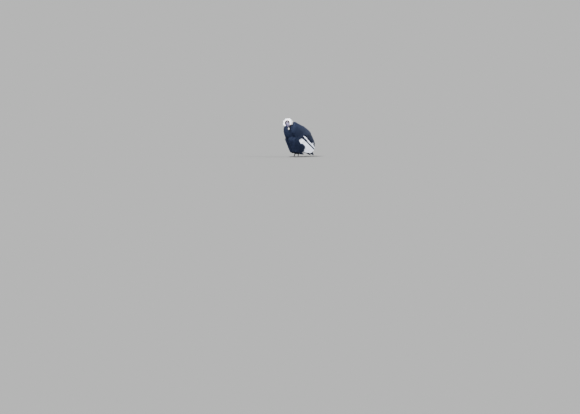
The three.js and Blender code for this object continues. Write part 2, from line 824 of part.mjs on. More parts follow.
// The collar that the ruff's down grows from, open towards the breast
function collarSkin() {
  const steps = 14;
  const around = 7;
  const rings = [];
  for (let s = 0; s <= steps; s++) {
    const turn = THREE.MathUtils.degToRad(mix(RUFF_START, RUFF_END, s / steps));
    const taper = 0.5 + 0.5 * Math.sqrt(Math.sin((Math.PI * (s + 0.5)) / (steps + 1)));
    const ring = [];
    for (let i = 0; i < around; i++) {
      const roll = (2 * Math.PI * i) / around;
      const radius = COLLAR_RADIUS + COLLAR_THICKNESS * taper * Math.cos(roll);
      ring.push(ruffPoint(turn, radius, COLLAR_DEPTH * taper * Math.sin(roll)));
    }
    rings.push(ring);
  }
  return loft(rings);
}

// One lock of down: flat, widest near its middle, bending forward out of the collar
function lockSkin(turn, { reach, lean, rise, halfWidth, twist }) {
  const outline = [[0, 0.7], [0.4, 1], [0.75, 0.85], [1, 0.25]];
  const rings = outline.map(([t, width]) => {
    const radius = mix(COLLAR_RADIUS - 6, reach, t);
    const ahead = lean + rise * t * t;
    const half = (halfWidth * width) / radius;
    const thick = 4.5 * (1 - 0.75 * t);
    const bend = turn + twist * t * t;
    return [
      ruffPoint(bend - half, radius, ahead),
      ruffPoint(bend, radius, ahead + thick),
      ruffPoint(bend + half, radius, ahead),
      ruffPoint(bend, radius, ahead - thick),
    ];
  });
  return loft(rings);
}

// Rows of locks round the collar, the rear ones longest
function ruffLockSkins() {
  const locks = [];
  RUFF_ROWS.forEach((row, r) => {
    for (let i = 0; i < row.count; i++) {
      const share = (i + 0.3 + 0.4 * (r % 2)) / row.count;
      const seed = r * 40 + i;
      const turn = THREE.MathUtils.degToRad(mix(RUFF_START, RUFF_END, share));
      const end = Math.sqrt(Math.min(1, Math.sin(Math.PI * share) * 2.2));
      locks.push(
        lockSkin(turn, {
          reach: mix(COLLAR_RADIUS + 22, row.reach, end) + 3 * scatter(seed),
          lean: row.lean,
          rise: row.rise + 3 * scatter(seed + 0.3),
          halfWidth: row.halfWidth,
          twist: 0.09 * scatter(seed + 0.6),
        }),
      );
    }
  });
  return locks;
}

// Colours and finishes
const BLACK_FEATHER = { color: 0x15161c, roughness: 0.6 };
const WHITE_FEATHER = { color: 0xdcdde4, roughness: 0.7 };
const WHITE_DOWN = { color: 0xf2f1f0, roughness: 0.9 };
const BARE_SKIN = { color: 0x77707c, roughness: 0.7 };
const DARK_COMB = { color: 0x4b464e, roughness: 0.7 };
const PALE_BILL = { color: 0xe3dccb, roughness: 0.4 };
const BROWN_EYE = { color: 0x3a2214, roughness: 0.1 };
const GREY_LEG = { color: 0x5a5a5c, roughness: 0.7 };
const DARK_CLAW = { color: 0x1d1b1a, roughness: 0.4 };

const condor = new THREE.Group();
condor.position.y = BIRD_SHIFT;

function addNode(name, made, finish) {
  const { vertProperties, triVerts, numProp } = made.getMesh();
  const positions = new Float32Array((vertProperties.length / numProp) * 3);
  for (let i = 0; i < positions.length / 3; i++) {
    positions.set(vertProperties.subarray(i * numProp, i * numProp + 3), i * 3);
  }
  const geometry = new THREE.BufferGeometry();
  geometry.setAttribute("position", new THREE.BufferAttribute(positions, 3));
  geometry.setIndex(new THREE.BufferAttribute(new Uint32Array(triVerts), 1));
  geometry.computeVertexNormals();
  const mesh = new THREE.Mesh(geometry, new THREE.MeshStandardMaterial({ metalness: 0, ...finish }));
  mesh.name = name;
  condor.add(mesh);
}

const torso = [torsoSkin()];
const neck = [neckSkin()];
const head = [headSkin(), lidSkin(1), lidSkin(-1)];
const mouth = [mouthSkin(1), mouthSkin(-1)];
const eyes = [eyeSkin(1), eyeSkin(-1)];
const upperBill = [upperBillSkin()];
const lowerBill = [lowerBillSkin()];
const comb = [combSkin()];
const tail = [tailRootSkin(), ...tailFeatherSkins()];

addNode("torso", node(torso), BLACK_FEATHER);
addNode("neck", node(neck, [torso, head]), BARE_SKIN);
addNode("ruff", node([collarSkin(), ...ruffLockSkins()], [torso, neck]), WHITE_DOWN);
addNode("head", node(head, [eyes, mouth]), BARE_SKIN);
addNode("bill_upper", node(upperBill, [head, [nostrilSkin()]]), PALE_BILL);
addNode("bill_lower", node(lowerBill, [head, upperBill]), PALE_BILL);
addNode("comb", node(comb, [head, upperBill]), DARK_COMB);
addNode("wattle", node(wattleSkins(), [head, neck, lowerBill]), DARK_COMB);
eyes.forEach((eye, i) => addNode(`eye_${PAIR[i].side}`, node([eye]), BROWN_EYE));
addNode("tail", node(tail, [torso]), BLACK_FEATHER);

for (const { side, place } of PAIR) {
  const arm = [armSkin(), ...medianCovertSkins(), ...backFeatherSkins()].map(place);
  const armCore = [place(armSkin())];
  const secondaries = [secondaryRootSkin(), ...secondarySkins()].map(place);
  const primaries = [primaryRootSkin(), ...primarySkins()].map(place);
  const thigh = [place(thighSkin())];
  const foot = footSkins().map(place);
  const tarsus = [place(tarsusSkin())];
  addNode(`wing_${side}`, node(arm, [torso]), BLACK_FEATHER);
  addNode(`secondaries_${side}`, node(secondaries, [torso, armCore]), WHITE_FEATHER);
  addNode(`primaries_${side}`, node(primaries, [torso, armCore]), BLACK_FEATHER);
  addNode(`thigh_${side}`, node(thigh, [torso, armCore]), BLACK_FEATHER);
  addNode(`tarsus_${side}`, node(tarsus, [thigh, foot]), GREY_LEG);
  addNode(`foot_${side}`, node(foot), GREY_LEG);
  for (const toe of TOES) {
    addNode(`claw_${side}_${toe.name}`, node([place(clawSkin(toe))], [foot]), DARK_CLAW);
  }
}

export default condor;
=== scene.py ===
# Andean condor, life size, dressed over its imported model. Metres, +Z up, facing -Y, left side +X.
import itertools
import json
import math
from collections import namedtuple

import bmesh
import bpy
import numpy as np
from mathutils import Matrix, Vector
from mathutils.bvhtree import BVHTree


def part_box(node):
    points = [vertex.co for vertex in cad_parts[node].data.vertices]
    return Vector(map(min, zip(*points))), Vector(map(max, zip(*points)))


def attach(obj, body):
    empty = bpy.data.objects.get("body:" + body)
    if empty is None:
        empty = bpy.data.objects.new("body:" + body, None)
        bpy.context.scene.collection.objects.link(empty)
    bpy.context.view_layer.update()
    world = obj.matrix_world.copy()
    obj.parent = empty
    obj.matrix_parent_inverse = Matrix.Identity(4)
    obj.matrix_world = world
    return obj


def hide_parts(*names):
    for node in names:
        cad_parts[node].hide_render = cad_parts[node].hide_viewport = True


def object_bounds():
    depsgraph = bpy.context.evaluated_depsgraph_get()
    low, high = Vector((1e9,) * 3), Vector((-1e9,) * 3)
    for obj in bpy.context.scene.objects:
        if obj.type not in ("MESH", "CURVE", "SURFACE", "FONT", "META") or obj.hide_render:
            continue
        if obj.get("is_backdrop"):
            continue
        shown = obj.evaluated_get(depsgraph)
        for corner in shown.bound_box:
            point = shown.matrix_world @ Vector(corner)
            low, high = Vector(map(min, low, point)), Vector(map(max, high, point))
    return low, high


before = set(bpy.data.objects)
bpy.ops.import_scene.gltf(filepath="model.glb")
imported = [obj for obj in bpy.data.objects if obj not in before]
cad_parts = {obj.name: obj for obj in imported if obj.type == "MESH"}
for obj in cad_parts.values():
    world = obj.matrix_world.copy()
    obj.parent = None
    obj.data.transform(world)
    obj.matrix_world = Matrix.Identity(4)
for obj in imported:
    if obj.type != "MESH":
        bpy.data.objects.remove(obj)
cad_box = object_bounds()

# The photograph's frame and where the bird stands in it
IMAGE_WIDTH = 580
IMAGE_HEIGHT = 414
METRES_PER_PIXEL = 0.023
ORIGIN_PIXEL = (298.2, 157.0)
LENS = 500.0
SENSOR = 36.0
AZIMUTH = math.radians(57)
ELEVATION = math.radians(3)

# Floor and light
FLOOR_SIZE = 1600
FLOOR_COLOUR = (0.110, 0.110, 0.1085, 1)
WORLD_COLOUR = (0.96, 0.98, 1, 1)
WORLD_STRENGTH = 2.1
KEY_STRENGTH = 14.5
KEY_HEIGHT = math.radians(48)
FILL_STRENGTH = 3.2
FILL_HEIGHT = math.radians(30)

# The body's own directions: along (down the slope), up (square to it) and side, in millimetres
MM = 0.001
BIRD_SHIFT = -33
SLOPE = math.radians(42)
SHOULDER_Y = -200
SHOULDER_Z = 690
WING_DROOP = 440

# Tail
TAIL_START = 452
TAIL_UP = 16
TAIL_DROP = math.radians(11.3)
TAIL_ARCH = 260
TAIL_LENGTH = 360
TAIL_FEATHERS = 12

# Ruff
RUFF_CENTRE = np.array((40.0, -283.0, 787.0))
RUFF_TURN = math.radians(32)
RUFF_TILT = math.radians(14)
RUFF_INNER = 62
RUFF_SPACING = 0.0024
RUFF_STRANDS = 5

# Head: where its middle lies, and where eye and ear lie ahead of and above it
HEAD_CENTRE = np.array((126.0, -328.0, 752.0))
FACING = math.radians(57)
HEAD_LEAN = math.radians(11)
EYE_AHEAD, EYE_UP = 16, 7
EAR_AHEAD, EAR_UP = -17, -4
EYE_RADIUS = 0.0074
MOUTH_GAP = 2.7

# Legs
LEG_SIDE = 0.078
LEG_Y = -0.057
TOE_PLATE = 0.0062
SHIN_PLATE = 0.0085

# Grain of the skin's parts, and how deep the skin lies under the feathers
BODY_VOXEL = 0.0075
FINE_VOXEL = 0.0017
BILL_VOXEL = 0.0011
CLAW_VOXEL = 0.0008
SKIN_DEPTH = 0.008
CHART_SPAN = 0.44

# Small feathers of the body: their spacing, half width, and rise off the surface at root and tip
BODY_SPACING = 0.0112
BODY_HALF = 0.0112
BODY_RISE = (-0.006, 0.0038)
GROUND_ROOM = 0.062

SIDES = (("left", 1), ("right", -1))
TOES = ("middle", "inner", "outer", "hind")
LEGS = [f"{part}_{side}" for part in ("tarsus", "foot") for side, _ in SIDES]
HEAD = ["neck", "head", "comb", "wattle"]
TRUNK = ["torso", "thigh_left", "thigh_right"]


# Numbers and curves


def curve(places, values):
    """A smooth curve through a few values at their places."""
    places, values = np.array(places, float), np.array(values, float)
    last = len(places) - 1
    after = np.minimum(np.arange(last + 1) + 1, last)
    before = np.maximum(np.arange(last + 1) - 1, 0)
    slopes = (values[after] - values[before]) / (places[after] - places[before])

    def at(place):
        place = np.asarray(place, float)
        k = np.clip(np.searchsorted(places, place) - 1, 0, last - 1)
        span = places[k + 1] - places[k]
        t = np.clip((place - places[k]) / span, 0, 1)
        rise = t * t * (3 - 2 * t)
        lead = t * (1 - t) ** 2 * span * slopes[k]
        trail = t * t * (t - 1) * span * slopes[k + 1]
        return values[k] + (values[k + 1] - values[k]) * rise + lead + trail

    return at


def mix(a, b, t):
    return a + (b - a) * t


def ease(low, high, value):
    """0 at low, 1 at high, with a smooth step between them."""
    t = np.clip((value - low) / (high - low), 0, 1)
    return t * t * (3 - 2 * t)


def bell(value, width):
    return np.exp(-((value / width) ** 2))


def unit(vectors):
    return vectors / np.maximum(np.linalg.norm(vectors, axis=-1, keepdims=True), 1e-9)


def stack(*columns):
    return np.stack(np.broadcast_arrays(*columns), axis=-1)


def ripple(points, size, seed):
    """A smooth uneven field of about one size in millimetres, from -1 to 1."""
    draw = np.random.default_rng(seed)
    total = np.zeros(len(points))
    for _ in range(9):
        heading = unit(draw.normal(size=3)) * draw.uniform(0.7, 1.5)
        total += np.sin(points @ heading * (2 * math.pi / (size * MM)) + draw.uniform(0, 6.3))
    return total / 4.5


# The sheet that a folded wing follows: its middle, its rise over it and its distance from the body's middle
WING_PLACES = (-60, 60, 176, 304, 435, 583, 684, 786, 900)
wing_middle = curve(WING_PLACES, (10, 20, 35, 50, 50, 45, 35, 5, -40))
wing_rise = curve(WING_PLACES, (170, 182, 195, 212, 210, 172, 145, 110, 70))
wing_half_width = curve(
    (-60, 60, 200, 350, 500, 620, 720, 800, 900), (118, 150, 160, 158, 148, 130, 106, 84, 56)
)

# The arm in the front of the wing: top and bottom on the sheet, outer and inner face off it
arm_top = curve((-52, -20, 60, 150, 250), (122, 146, 166, 194, 226))
arm_bottom = curve((-52, -20, 30, 60, 150, 250), (96, 8, -92, -112, -126, -132))
arm_outer = curve((-52, -10, 60, 180, 250), (6, 26, 35, 35, 33))
arm_inner = curve((-52, 120, 250), (-18, -18, 0))

# Tips of the flight feathers, from the lowest to the highest
secondary_along = curve((0, 0.25, 0.5, 0.7, 0.85, 1), (612, 696, 768, 798, 794, 760))
secondary_up = curve((0, 0.25, 0.5, 0.7, 0.85, 1), (-194, -164, -105, -42, 18, 78))
primary_along = curve((0, 0.3, 0.6, 1), (842, 894, 878, 800))
primary_up = curve((0, 0.3, 0.6, 1), (-100, -80, -64, -50))

# Edges of the white markings on the wing's sheet
stripe_top = curve((290, 330, 400, 500, 600, 635, 654, 675, 800), (24, 33, 42, 43, 47, 58, 86, 62, 56))
stripe_bottom = curve((290, 330, 400, 500, 600, 700, 800), (24, 18, 18, 15, 17, 26, 34))
panel_top = curve((285, 310, 400, 500, 600, 700, 800), (-88, -58, -36, -24, -16, -7, 6))

# The pad of flank feathers that hangs over the folded wing, and the part of it that shows
flank_top = curve((200, 300, 340, 400, 500, 580, 660), (-108, -92, -112, -88, -76, -122, -205))
flank_bottom = curve((200, 250, 330, 420, 530, 600, 660), (-178, -242, -300, -328, -326, -300, -250))
flank_lift = curve((200, 240, 300, 420, 520, 660), (10, 20, 33, 36, 33, 28))
drape_top = curve(
    (215, 300, 345, 400, 450, 485, 515, 550), (-126, -142, -156, -140, -124, -130, -160, -205)
)
drape_bottom = curve((215, 250, 330, 420, 480, 520, 550), (-165, -215, -272, -300, -300, -285, -250))

# The back's feather bed between the wings, and how much fuller the breast is than the torso
MANTLE_PLACES = (170, 250, 330, 400, 470, 540, 600, 650, 700)
mantle_top = curve(MANTLE_PLACES, (192, 202, 196, 176, 136, 88, 46, 10, -18))
mantle_half = curve(MANTLE_PLACES, (60, 84, 104, 116, 112, 92, 74, 60, 50))
front_fullness = curve(
    (0.08, 0.20, 0.30, 0.44, 0.55, 0.66, 0.74), (0.002, 0.008, 0.012, 0.024, 0.020, 0.012, 0.0)
)


# Places on the body


def body_point(along, up, side):
    """A point of the body, in metres, from its place along, up and side in millimetres."""
    y = BIRD_SHIFT + SHOULDER_Y + along * math.cos(SLOPE) + up * math.sin(SLOPE)
    z = SHOULDER_Z - along * math.sin(SLOPE) + up * math.cos(SLOPE)
    return stack(side, y, z) * MM


def body_place(points):
    """Along and up, in millimetres, of points in metres."""
    y = points[..., 1] / MM - BIRD_SHIFT - SHOULDER_Y
    z = points[..., 2] / MM - SHOULDER_Z
    along = y * math.cos(SLOPE) - z * math.sin(SLOPE)
    return along, y * math.sin(SLOPE) + z * math.cos(SLOPE)


def wing_side(along, up):
    middle = wing_middle(along)
    reach = np.where(up > middle, wing_rise(along), WING_DROOP)
    t = np.minimum(np.abs(up - middle) / reach, 0.985)
    return wing_half_width(along) * np.sqrt(1 - t * t)


def wing_point(along, up, lift, side):
    """A point of a wing, lifted off its sheet."""
    step = 2
    here = body_point(along, up, wing_side(along, up))
    rear = body_point(along + step, up, wing_side(along + step, up))
    above = body_point(along, up + step, wing_side(along, up + step))
    outward = unit(np.cross(above - here, rear - here))
    outward = outward * np.where(outward[..., :1] < 0, -1, 1)
    return (here + outward * np.asarray(lift)[..., None] * MM) * np.array((side, 1, 1))


def tail_point(along, across, lift):
    droop = across * across / (2 * TAIL_ARCH)
    return body_point(
        TAIL_START + along * math.cos(TAIL_DROP) + (lift - droop) * math.sin(TAIL_DROP),
        TAIL_UP - along * math.sin(TAIL_DROP) + (lift - droop) * math.cos(TAIL_DROP),
        across,
    )


ruff_level = np.array((math.cos(RUFF_TURN), math.sin(RUFF_TURN), 0))
ruff_ahead = unit(np.array((math.sin(RUFF_TURN), -math.cos(RUFF_TURN), math.tan(RUFF_TILT))))
ruff_up = np.cross(ruff_ahead, ruff_level)
ruff_middle = (RUFF_CENTRE + (0, BIRD_SHIFT, 0)) * MM
rear_level = np.array((math.cos(FACING), math.sin(FACING), 0))
bill_ahead = np.array((0, 0, -math.cos(HEAD_LEAN))) + rear_level * math.sin(HEAD_LEAN)
crown_up = np.array((math.sin(FACING), -math.cos(FACING), 0))
head_left = np.cross(crown_up, bill_ahead)
head_middle = (HEAD_CENTRE + (0, BIRD_SHIFT, 0)) * MM
down_slope = np.array((0, math.cos(SLOPE), -math.sin(SLOPE)))
square_up = np.array((0, math.sin(SLOPE), math.cos(SLOPE)))


def head_place(points):
    """Ahead towards the bill, left, and up out of the crown, in millimetres."""
    away = (points - head_middle) / MM
    return away @ bill_ahead, away @ head_left, away @ crown_up


def ruff_place(points):
    """Distance from the neck's middle, and ahead along the neck, in millimetres."""
    away = (points - ruff_middle) / MM
    return np.hypot(away @ ruff_level, away @ ruff_up), away @ ruff_ahead


def neck_path():
    """Points down the middle of the neck from the ruff to the back of the skull, in metres."""
    lean = unit(np.array((1, -1, -0.17)))
    start = ruff_middle - lean * 0.02
    bend = ruff_middle + lean * 0.038
    end = head_middle + (bill_ahead * -30 + crown_up * -14) * MM
    t = np.linspace(0, 1, 24)[:, None]
    return (1 - t) ** 2 * start + 2 * t * (1 - t) * bend + t * t * end


def near_neck(points):
    """Distance to the neck's path, and how far along it the nearest point is, from 0 to 1."""
    path = neck_path()
    away = np.linalg.norm(points[:, None] - path[None], axis=2)
    return away.min(axis=1), away.argmin(axis=1) / (len(path) - 1)


# Meshes


def read(items, field, width=1, kind=np.int32):
    """One property of all items of a mesh, as an array, with a row for each when it is wide."""
    values = np.zeros(len(items) * width, kind)
    items.foreach_get(field, values)
    return values.reshape(-1, width) if width > 1 else values


def vertices_of(piece):
    return read(piece.data.vertices, "co", 3, np.float32).astype(float)


def normals_of(piece):
    return read(piece.data.vertex_normals, "vector", 3, np.float32).astype(float)


def corner_points(piece):
    return read(piece.data.loops, "vertex_index")


def move_vertices(piece, points):
    piece.data.vertices.foreach_set("co", points.astype(np.float32).ravel())
    piece.data.update()


def set_uv(piece, name, values):
    layer = piece.data.uv_layers.new(name=name)
    layer.uv.foreach_set("vector", values.astype(np.float32).ravel())


def object_of(name, mesh):
    piece = bpy.data.objects.new(name, mesh)
    bpy.context.collection.objects.link(piece)
    return piece


def mesh_object(name, points, faces):
    mesh = bpy.data.meshes.new(name)
    mesh.from_pydata(points.tolist(), [], faces)
    mesh.update()
    return object_of(name, mesh)


def finish(piece, material, slot, replaced=(), marks=None):
    """The marks, shading and material of a piece, its body and the nodes that it replaces; slot is not used.
    """
    mesh = piece.data
    for label, values in (marks or {}).items():
        field = mesh.attributes.new(label, "FLOAT", "POINT")
        field.data.foreach_set("value", np.ascontiguousarray(values, np.float32).ravel())
    mesh.polygons.foreach_set("use_smooth", np.ones(len(mesh.polygons), bool))
    mesh.materials.clear()
    mesh.materials.append(material)
    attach(piece, "root")
    if replaced:
        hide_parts(*replaced)


def make_active(piece):
    bpy.ops.object.select_all(action="DESELECT")
    piece.select_set(True)
    bpy.context.view_layer.objects.active = piece


def apply_modifier(piece, kind, **settings):
    make_active(piece)
    modifier = piece.modifiers.new(kind.lower(), kind)
    for key, value in settings.items():
        setattr(modifier, key, value)
    bpy.ops.object.modifier_apply(modifier=modifier.name)


def remesh(piece, voxel, smoothing):
    apply_modifier(piece, "REMESH", mode="VOXEL", voxel_size=voxel)
    apply_modifier(piece, "SMOOTH", factor=0.5, iterations=smoothing)


def grow(piece, distance):
    move_vertices(piece, vertices_of(piece) + normals_of(piece) * distance)


def joined(parts):
    make_active(parts[0])
    for part in parts:
        part.select_set(True)
    if len(parts) > 1:
        bpy.ops.object.join()
    return bpy.context.object


def copy_of(name, nodes):
    """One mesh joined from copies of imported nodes, merged where their corners meet."""
    whole = bmesh.new()
    for node in nodes:
        whole.from_mesh(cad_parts[node].data)
    bmesh.ops.remove_doubles(whole, verts=whole.verts, dist=1e-6)
    mesh = bpy.data.meshes.new(name)
    whole.to_mesh(mesh)
    whole.free()
    return object_of(name, mesh)


def grown_copy(name, nodes, distance=0.0):
    """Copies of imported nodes, each a little larger, so that neighbours run into each other."""
    parts = [copy_of(name, [node]) for node in nodes]
    for part in parts:
        grow(part, distance)
    return joined(parts)


def tube(rings):
    """A closed tube through rings of points, with its faces outwards."""
    around = len(rings[0])
    faces = []
    for start in range(0, (len(rings) - 1) * around, around):
        for i in range(around):
            j = (i + 1) % around
            faces.append((start + i, start + j, start + around + j, start + around + i))
    faces.append(tuple(range(around - 1, -1, -1)))
    faces.append(tuple(range((len(rings) - 1) * around, len(rings) * around)))
    piece = mesh_object("tube", np.concatenate(rings), faces)
    make_active(piece)
    bpy.ops.object.mode_set(mode="EDIT")
    bpy.ops.mesh.select_all(action="SELECT")
    bpy.ops.mesh.normals_make_consistent(inside=False)
    bpy.ops.object.mode_set(mode="OBJECT")
    return piece


def tree_of(piece):
    mesh = piece.data
    faces = [tuple(face.vertices) for face in mesh.polygons]
    return BVHTree.FromPolygons([vertex.co for vertex in mesh.vertices], faces)


# Materials

# The blue in BLACK, BLACK_EDGE, WHITE and WHITE_SHADE is partly painted light: the blue cast of shade, over
# the feathers' own black and white
BLACK = (0.0029, 0.0044, 0.0140, 1)
BLACK_EDGE = (0.0072, 0.0098, 0.0215, 1)
BLUE_SHEEN = (0.40, 0.56, 1.0, 1)
BLUE_GLOSS = (0.62, 0.78, 1.0, 1)
WHITE = (0.84, 0.88, 0.98, 1)
WHITE_SHADE = (0.70, 0.74, 0.88, 1)
DOWN_WHITE = (0.95, 0.94, 0.94, 1)
# Painted shade of the down, towards its roots and under its strands
DOWN_SHADE = (0.80, 0.79, 0.81, 1)
BARE_SKIN = (0.138, 0.130, 0.250, 1)
BARE_DEEP = (0.036, 0.027, 0.042, 1)
COMB_DARK = (0.019, 0.016, 0.022, 1)
NECK_SKIN = (0.066, 0.056, 0.084, 1)
# Painted shade, for the folds of the skin and the hollow inside the ruff
HOLLOW_SHADE = (0.009, 0.0075, 0.010, 1)
LEG_GREY = (0.017, 0.0165, 0.0185, 1)
LEG_PALE = (0.056, 0.053, 0.052, 1)
BILL_IVORY = (0.90, 0.88, 0.84, 1)
BILL_STREAK = (0.66, 0.60, 0.50, 1)
BILL_DARK = (0.050, 0.042, 0.045, 1)
CLAW_DARK = (0.0065, 0.0058, 0.0058, 1)
CLAW_STREAK = (0.032, 0.027, 0.023, 1)
IRIS = (0.16, 0.065, 0.028, 1)
IRIS_RAY = (0.05, 0.02, 0.012, 1)
IRIS_RIM = (0.012, 0.009, 0.009, 1)
PUPIL = (0.002, 0.002, 0.002, 1)


class Nodes:
    """The nodes of one new material, with the shader's inputs at hand."""

    def __init__(self, name):
        self.material = bpy.data.materials.new(name)
        self.material.use_nodes = True
        self.tree = self.material.node_tree
        self.shader = self.tree.nodes["Principled BSDF"]

    def link(self, source, socket):
        if isinstance(source, bpy.types.NodeSocket):
            self.tree.links.new(source, socket)
        else:
            socket.default_value = source

    def add(self, kind, inputs=None, **settings):
        node = self.tree.nodes.new("ShaderNode" + kind)
        for key, value in settings.items():
            setattr(node, key, value)
        for socket, source in (inputs or {}).items():
            self.link(source, node.inputs[socket])
        return node

    def set(self, **inputs):
        for name, value in inputs.items():
            self.link(value, self.shader.inputs[name.replace("_", " ")])

    def attribute(self, name):
        return self.add("Attribute", attribute_name=name).outputs["Fac"]

    def place(self):
        return self.add("TexCoord").outputs["Object"]

    def mix(self, factor, low, high):
        return self.add("Mix", {0: factor, 6: low, 7: high}, data_type="RGBA").outputs[2]

    def math(self, operation, first, second=0.0):
        return self.add("Math", {0: first, 1: second}, operation=operation).outputs[0]

    def times(self, first, second):
        return self.math("MULTIPLY", first, second)

    def plus(self, first, second):
        return self.math("ADD", first, second)

    def less(self, first, second):
        return self.math("SUBTRACT", first, second)

    def ramp(self, source, low, high):
        inputs = {"Value": source, "From Min": low, "From Max": high}
        return self.add("MapRange", inputs).outputs["Result"]

    def noise(self, scale, detail=4.0):
        inputs = {"Scale": scale, "Detail": detail, "Vector": self.place()}
        return self.add("TexNoise", inputs).outputs["Fac"]

    def cells(self, scale, **settings):
        inputs = {"Vector": self.place(), "Scale": scale}
        return self.add("TexVoronoi", inputs, **settings).outputs["Distance"]

    def bump(self, height, distance, strength=1.0, under=None):
        inputs = {"Height": height, "Distance": distance, "Strength": strength}
        if under:
            inputs["Normal"] = under
        return self.add("Bump", inputs).outputs["Normal"]


def barbs(nodes, count):
    """Fine barbs that run from the shaft out to the edge and towards the tip."""
    split = nodes.add("SeparateXYZ", {"Vector": nodes.add("UVMap", uv_map="Vane").outputs["UV"]})
    across = nodes.math("ABSOLUTE", nodes.less(split.outputs["X"], 0.5))
    run = nodes.plus(split.outputs["Y"], nodes.times(across, -0.34))
    return nodes.math("SINE", nodes.times(run, count)), across


def feather_material(name, barb_count, gloss):
    """Black and white vanes: the mark attribute tells white from black, tone varies each vane."""
    nodes = Nodes(name)
    wave, across = barbs(nodes, barb_count)
    tone = nodes.attribute("tone")
    black = nodes.mix(nodes.times(nodes.ramp(across, 0.34, 0.5), tone), BLACK, BLACK_EDGE)
    white = nodes.mix(nodes.times(nodes.ramp(across, 0.10, 0.5), 0.55), WHITE, WHITE_SHADE)
    white = nodes.mix(nodes.times(tone, 0.30), white, WHITE_SHADE)
    grain = nodes.noise(900.0, 2.0)
    uneven = nodes.times(nodes.less(grain, 0.5), 0.16)
    mark = nodes.ramp(nodes.plus(nodes.attribute("mark"), uneven), 0.46, 0.54)
    nodes.set(Base_Color=nodes.mix(mark, black, white))
    nodes.set(Roughness=nodes.plus(nodes.times(grain, 0.2), gloss))
    nodes.set(Sheen_Weight=0.04, Sheen_Roughness=0.4, Sheen_Tint=BLUE_SHEEN)
    nodes.set(Specular_IOR_Level=0.16, Specular_Tint=BLUE_GLOSS)
    relief = nodes.bump(wave, 0.0003, 0.55)
    nodes.set(Normal=nodes.bump(nodes.noise(260.0), 0.0012, 0.35, relief))
    return nodes.material


def down_material():
    """White down of the ruff, with painted shade towards its roots and under its strands, and dark with the
    painted shade of the hollow round the neck on the ruff's inner side.
    """
    nodes = Nodes("white_down")
    depth = nodes.attribute("depth")
    # Painted shade: greyer towards the roots of the down, and dark on the inner side of the ruff
    white = nodes.mix(nodes.times(nodes.ramp(depth, 0.0, 1.0), 0.8), DOWN_WHITE, DOWN_SHADE)
    nodes.set(Base_Color=nodes.mix(nodes.ramp(depth, 1.0, 1.7), white, HOLLOW_SHADE))
    nodes.set(Roughness=0.9, Specular_IOR_Level=0.2)
    nodes.set(Subsurface_Weight=0.12, Subsurface_Scale=0.006)
    nodes.set(Normal=nodes.bump(nodes.noise(1300.0), 0.0012, 0.8))
    return nodes.material


def skin_material():
    """Bare head and neck, dark comb, painted shade in the folds, eye sockets and ear openings, scaly legs,
    and dark down under the feathers.
    """
    nodes = Nodes("skin")
    leg_share = nodes.attribute("leg")
    blotch = nodes.ramp(nodes.noise(55.0, 5.0), 0.35, 0.68)
    plates = nodes.ramp(nodes.cells(300.0, feature="DISTANCE_TO_EDGE"), 0.0, 0.12)
    face = nodes.mix(nodes.times(blotch, 0.5), BARE_SKIN, BARE_DEEP)
    # Painted shade in the eye sockets and ear openings, and darker lores and crown
    face = nodes.mix(nodes.attribute("hollow"), face, BARE_DEEP)
    comb = nodes.mix(nodes.times(blotch, 0.6), COMB_DARK, BARE_DEEP)
    face = nodes.mix(nodes.attribute("comb"), face, comb)
    neck = nodes.mix(nodes.times(blotch, 0.4), NECK_SKIN, BARE_DEEP)
    face = nodes.mix(nodes.attribute("neck"), face, neck)
    # Painted shade in the folds and creases of the skin
    face = nodes.mix(nodes.times(nodes.attribute("crease_shade"), 0.85), face, HOLLOW_SHADE)
    leg = nodes.mix(nodes.times(plates, 0.8), LEG_PALE, LEG_GREY)
    bare = nodes.attribute("bare")
    nodes.set(Base_Color=nodes.mix(leg_share, nodes.mix(bare, BLACK, face), leg))
    rough = nodes.less(1.0, nodes.times(nodes.math("MAXIMUM", bare, leg_share), 0.52))
    nodes.set(Roughness=nodes.plus(rough, nodes.times(blotch, 0.15)))
    nodes.set(Subsurface_Weight=0.06, Subsurface_Scale=0.003)
    wrinkles = nodes.bump(nodes.noise(190.0, 6.0), 0.0016, 0.8)
    pores = nodes.bump(nodes.cells(420.0), 0.0005, 0.6, wrinkles)
    nodes.set(Normal=nodes.bump(nodes.times(plates, leg_share), 0.0007, 0.9, pores))
    return nodes.material


def bill_material():
    """Ivory horn towards the hook, dark at its base, with fine growth lines."""
    nodes = Nodes("bill_horn")
    streak = nodes.noise(140.0, 5.0)
    share = nodes.plus(nodes.attribute("tip"), nodes.times(nodes.less(streak, 0.5), 0.35))
    horn = nodes.mix(nodes.times(streak, 0.35), BILL_IVORY, BILL_STREAK)
    nodes.set(Base_Color=nodes.mix(nodes.ramp(share, 0.22, 0.42), BILL_DARK, horn))
    nodes.set(Roughness=nodes.plus(0.26, nodes.times(streak, 0.2)))
    nodes.set(Coat_Weight=0.25, Coat_Roughness=0.2)
    nodes.set(Normal=nodes.bump(nodes.noise(420.0), 0.0005, 0.5))
    return nodes.material


def claw_material():
    nodes = Nodes("claw_horn")
    streak = nodes.noise(230.0, 5.0)
    nodes.set(Base_Color=nodes.mix(nodes.times(streak, 0.5), CLAW_DARK, CLAW_STREAK))
    nodes.set(Roughness=nodes.plus(0.25, nodes.times(streak, 0.25)))
    nodes.set(Normal=nodes.bump(streak, 0.0005, 0.5))
    return nodes.material


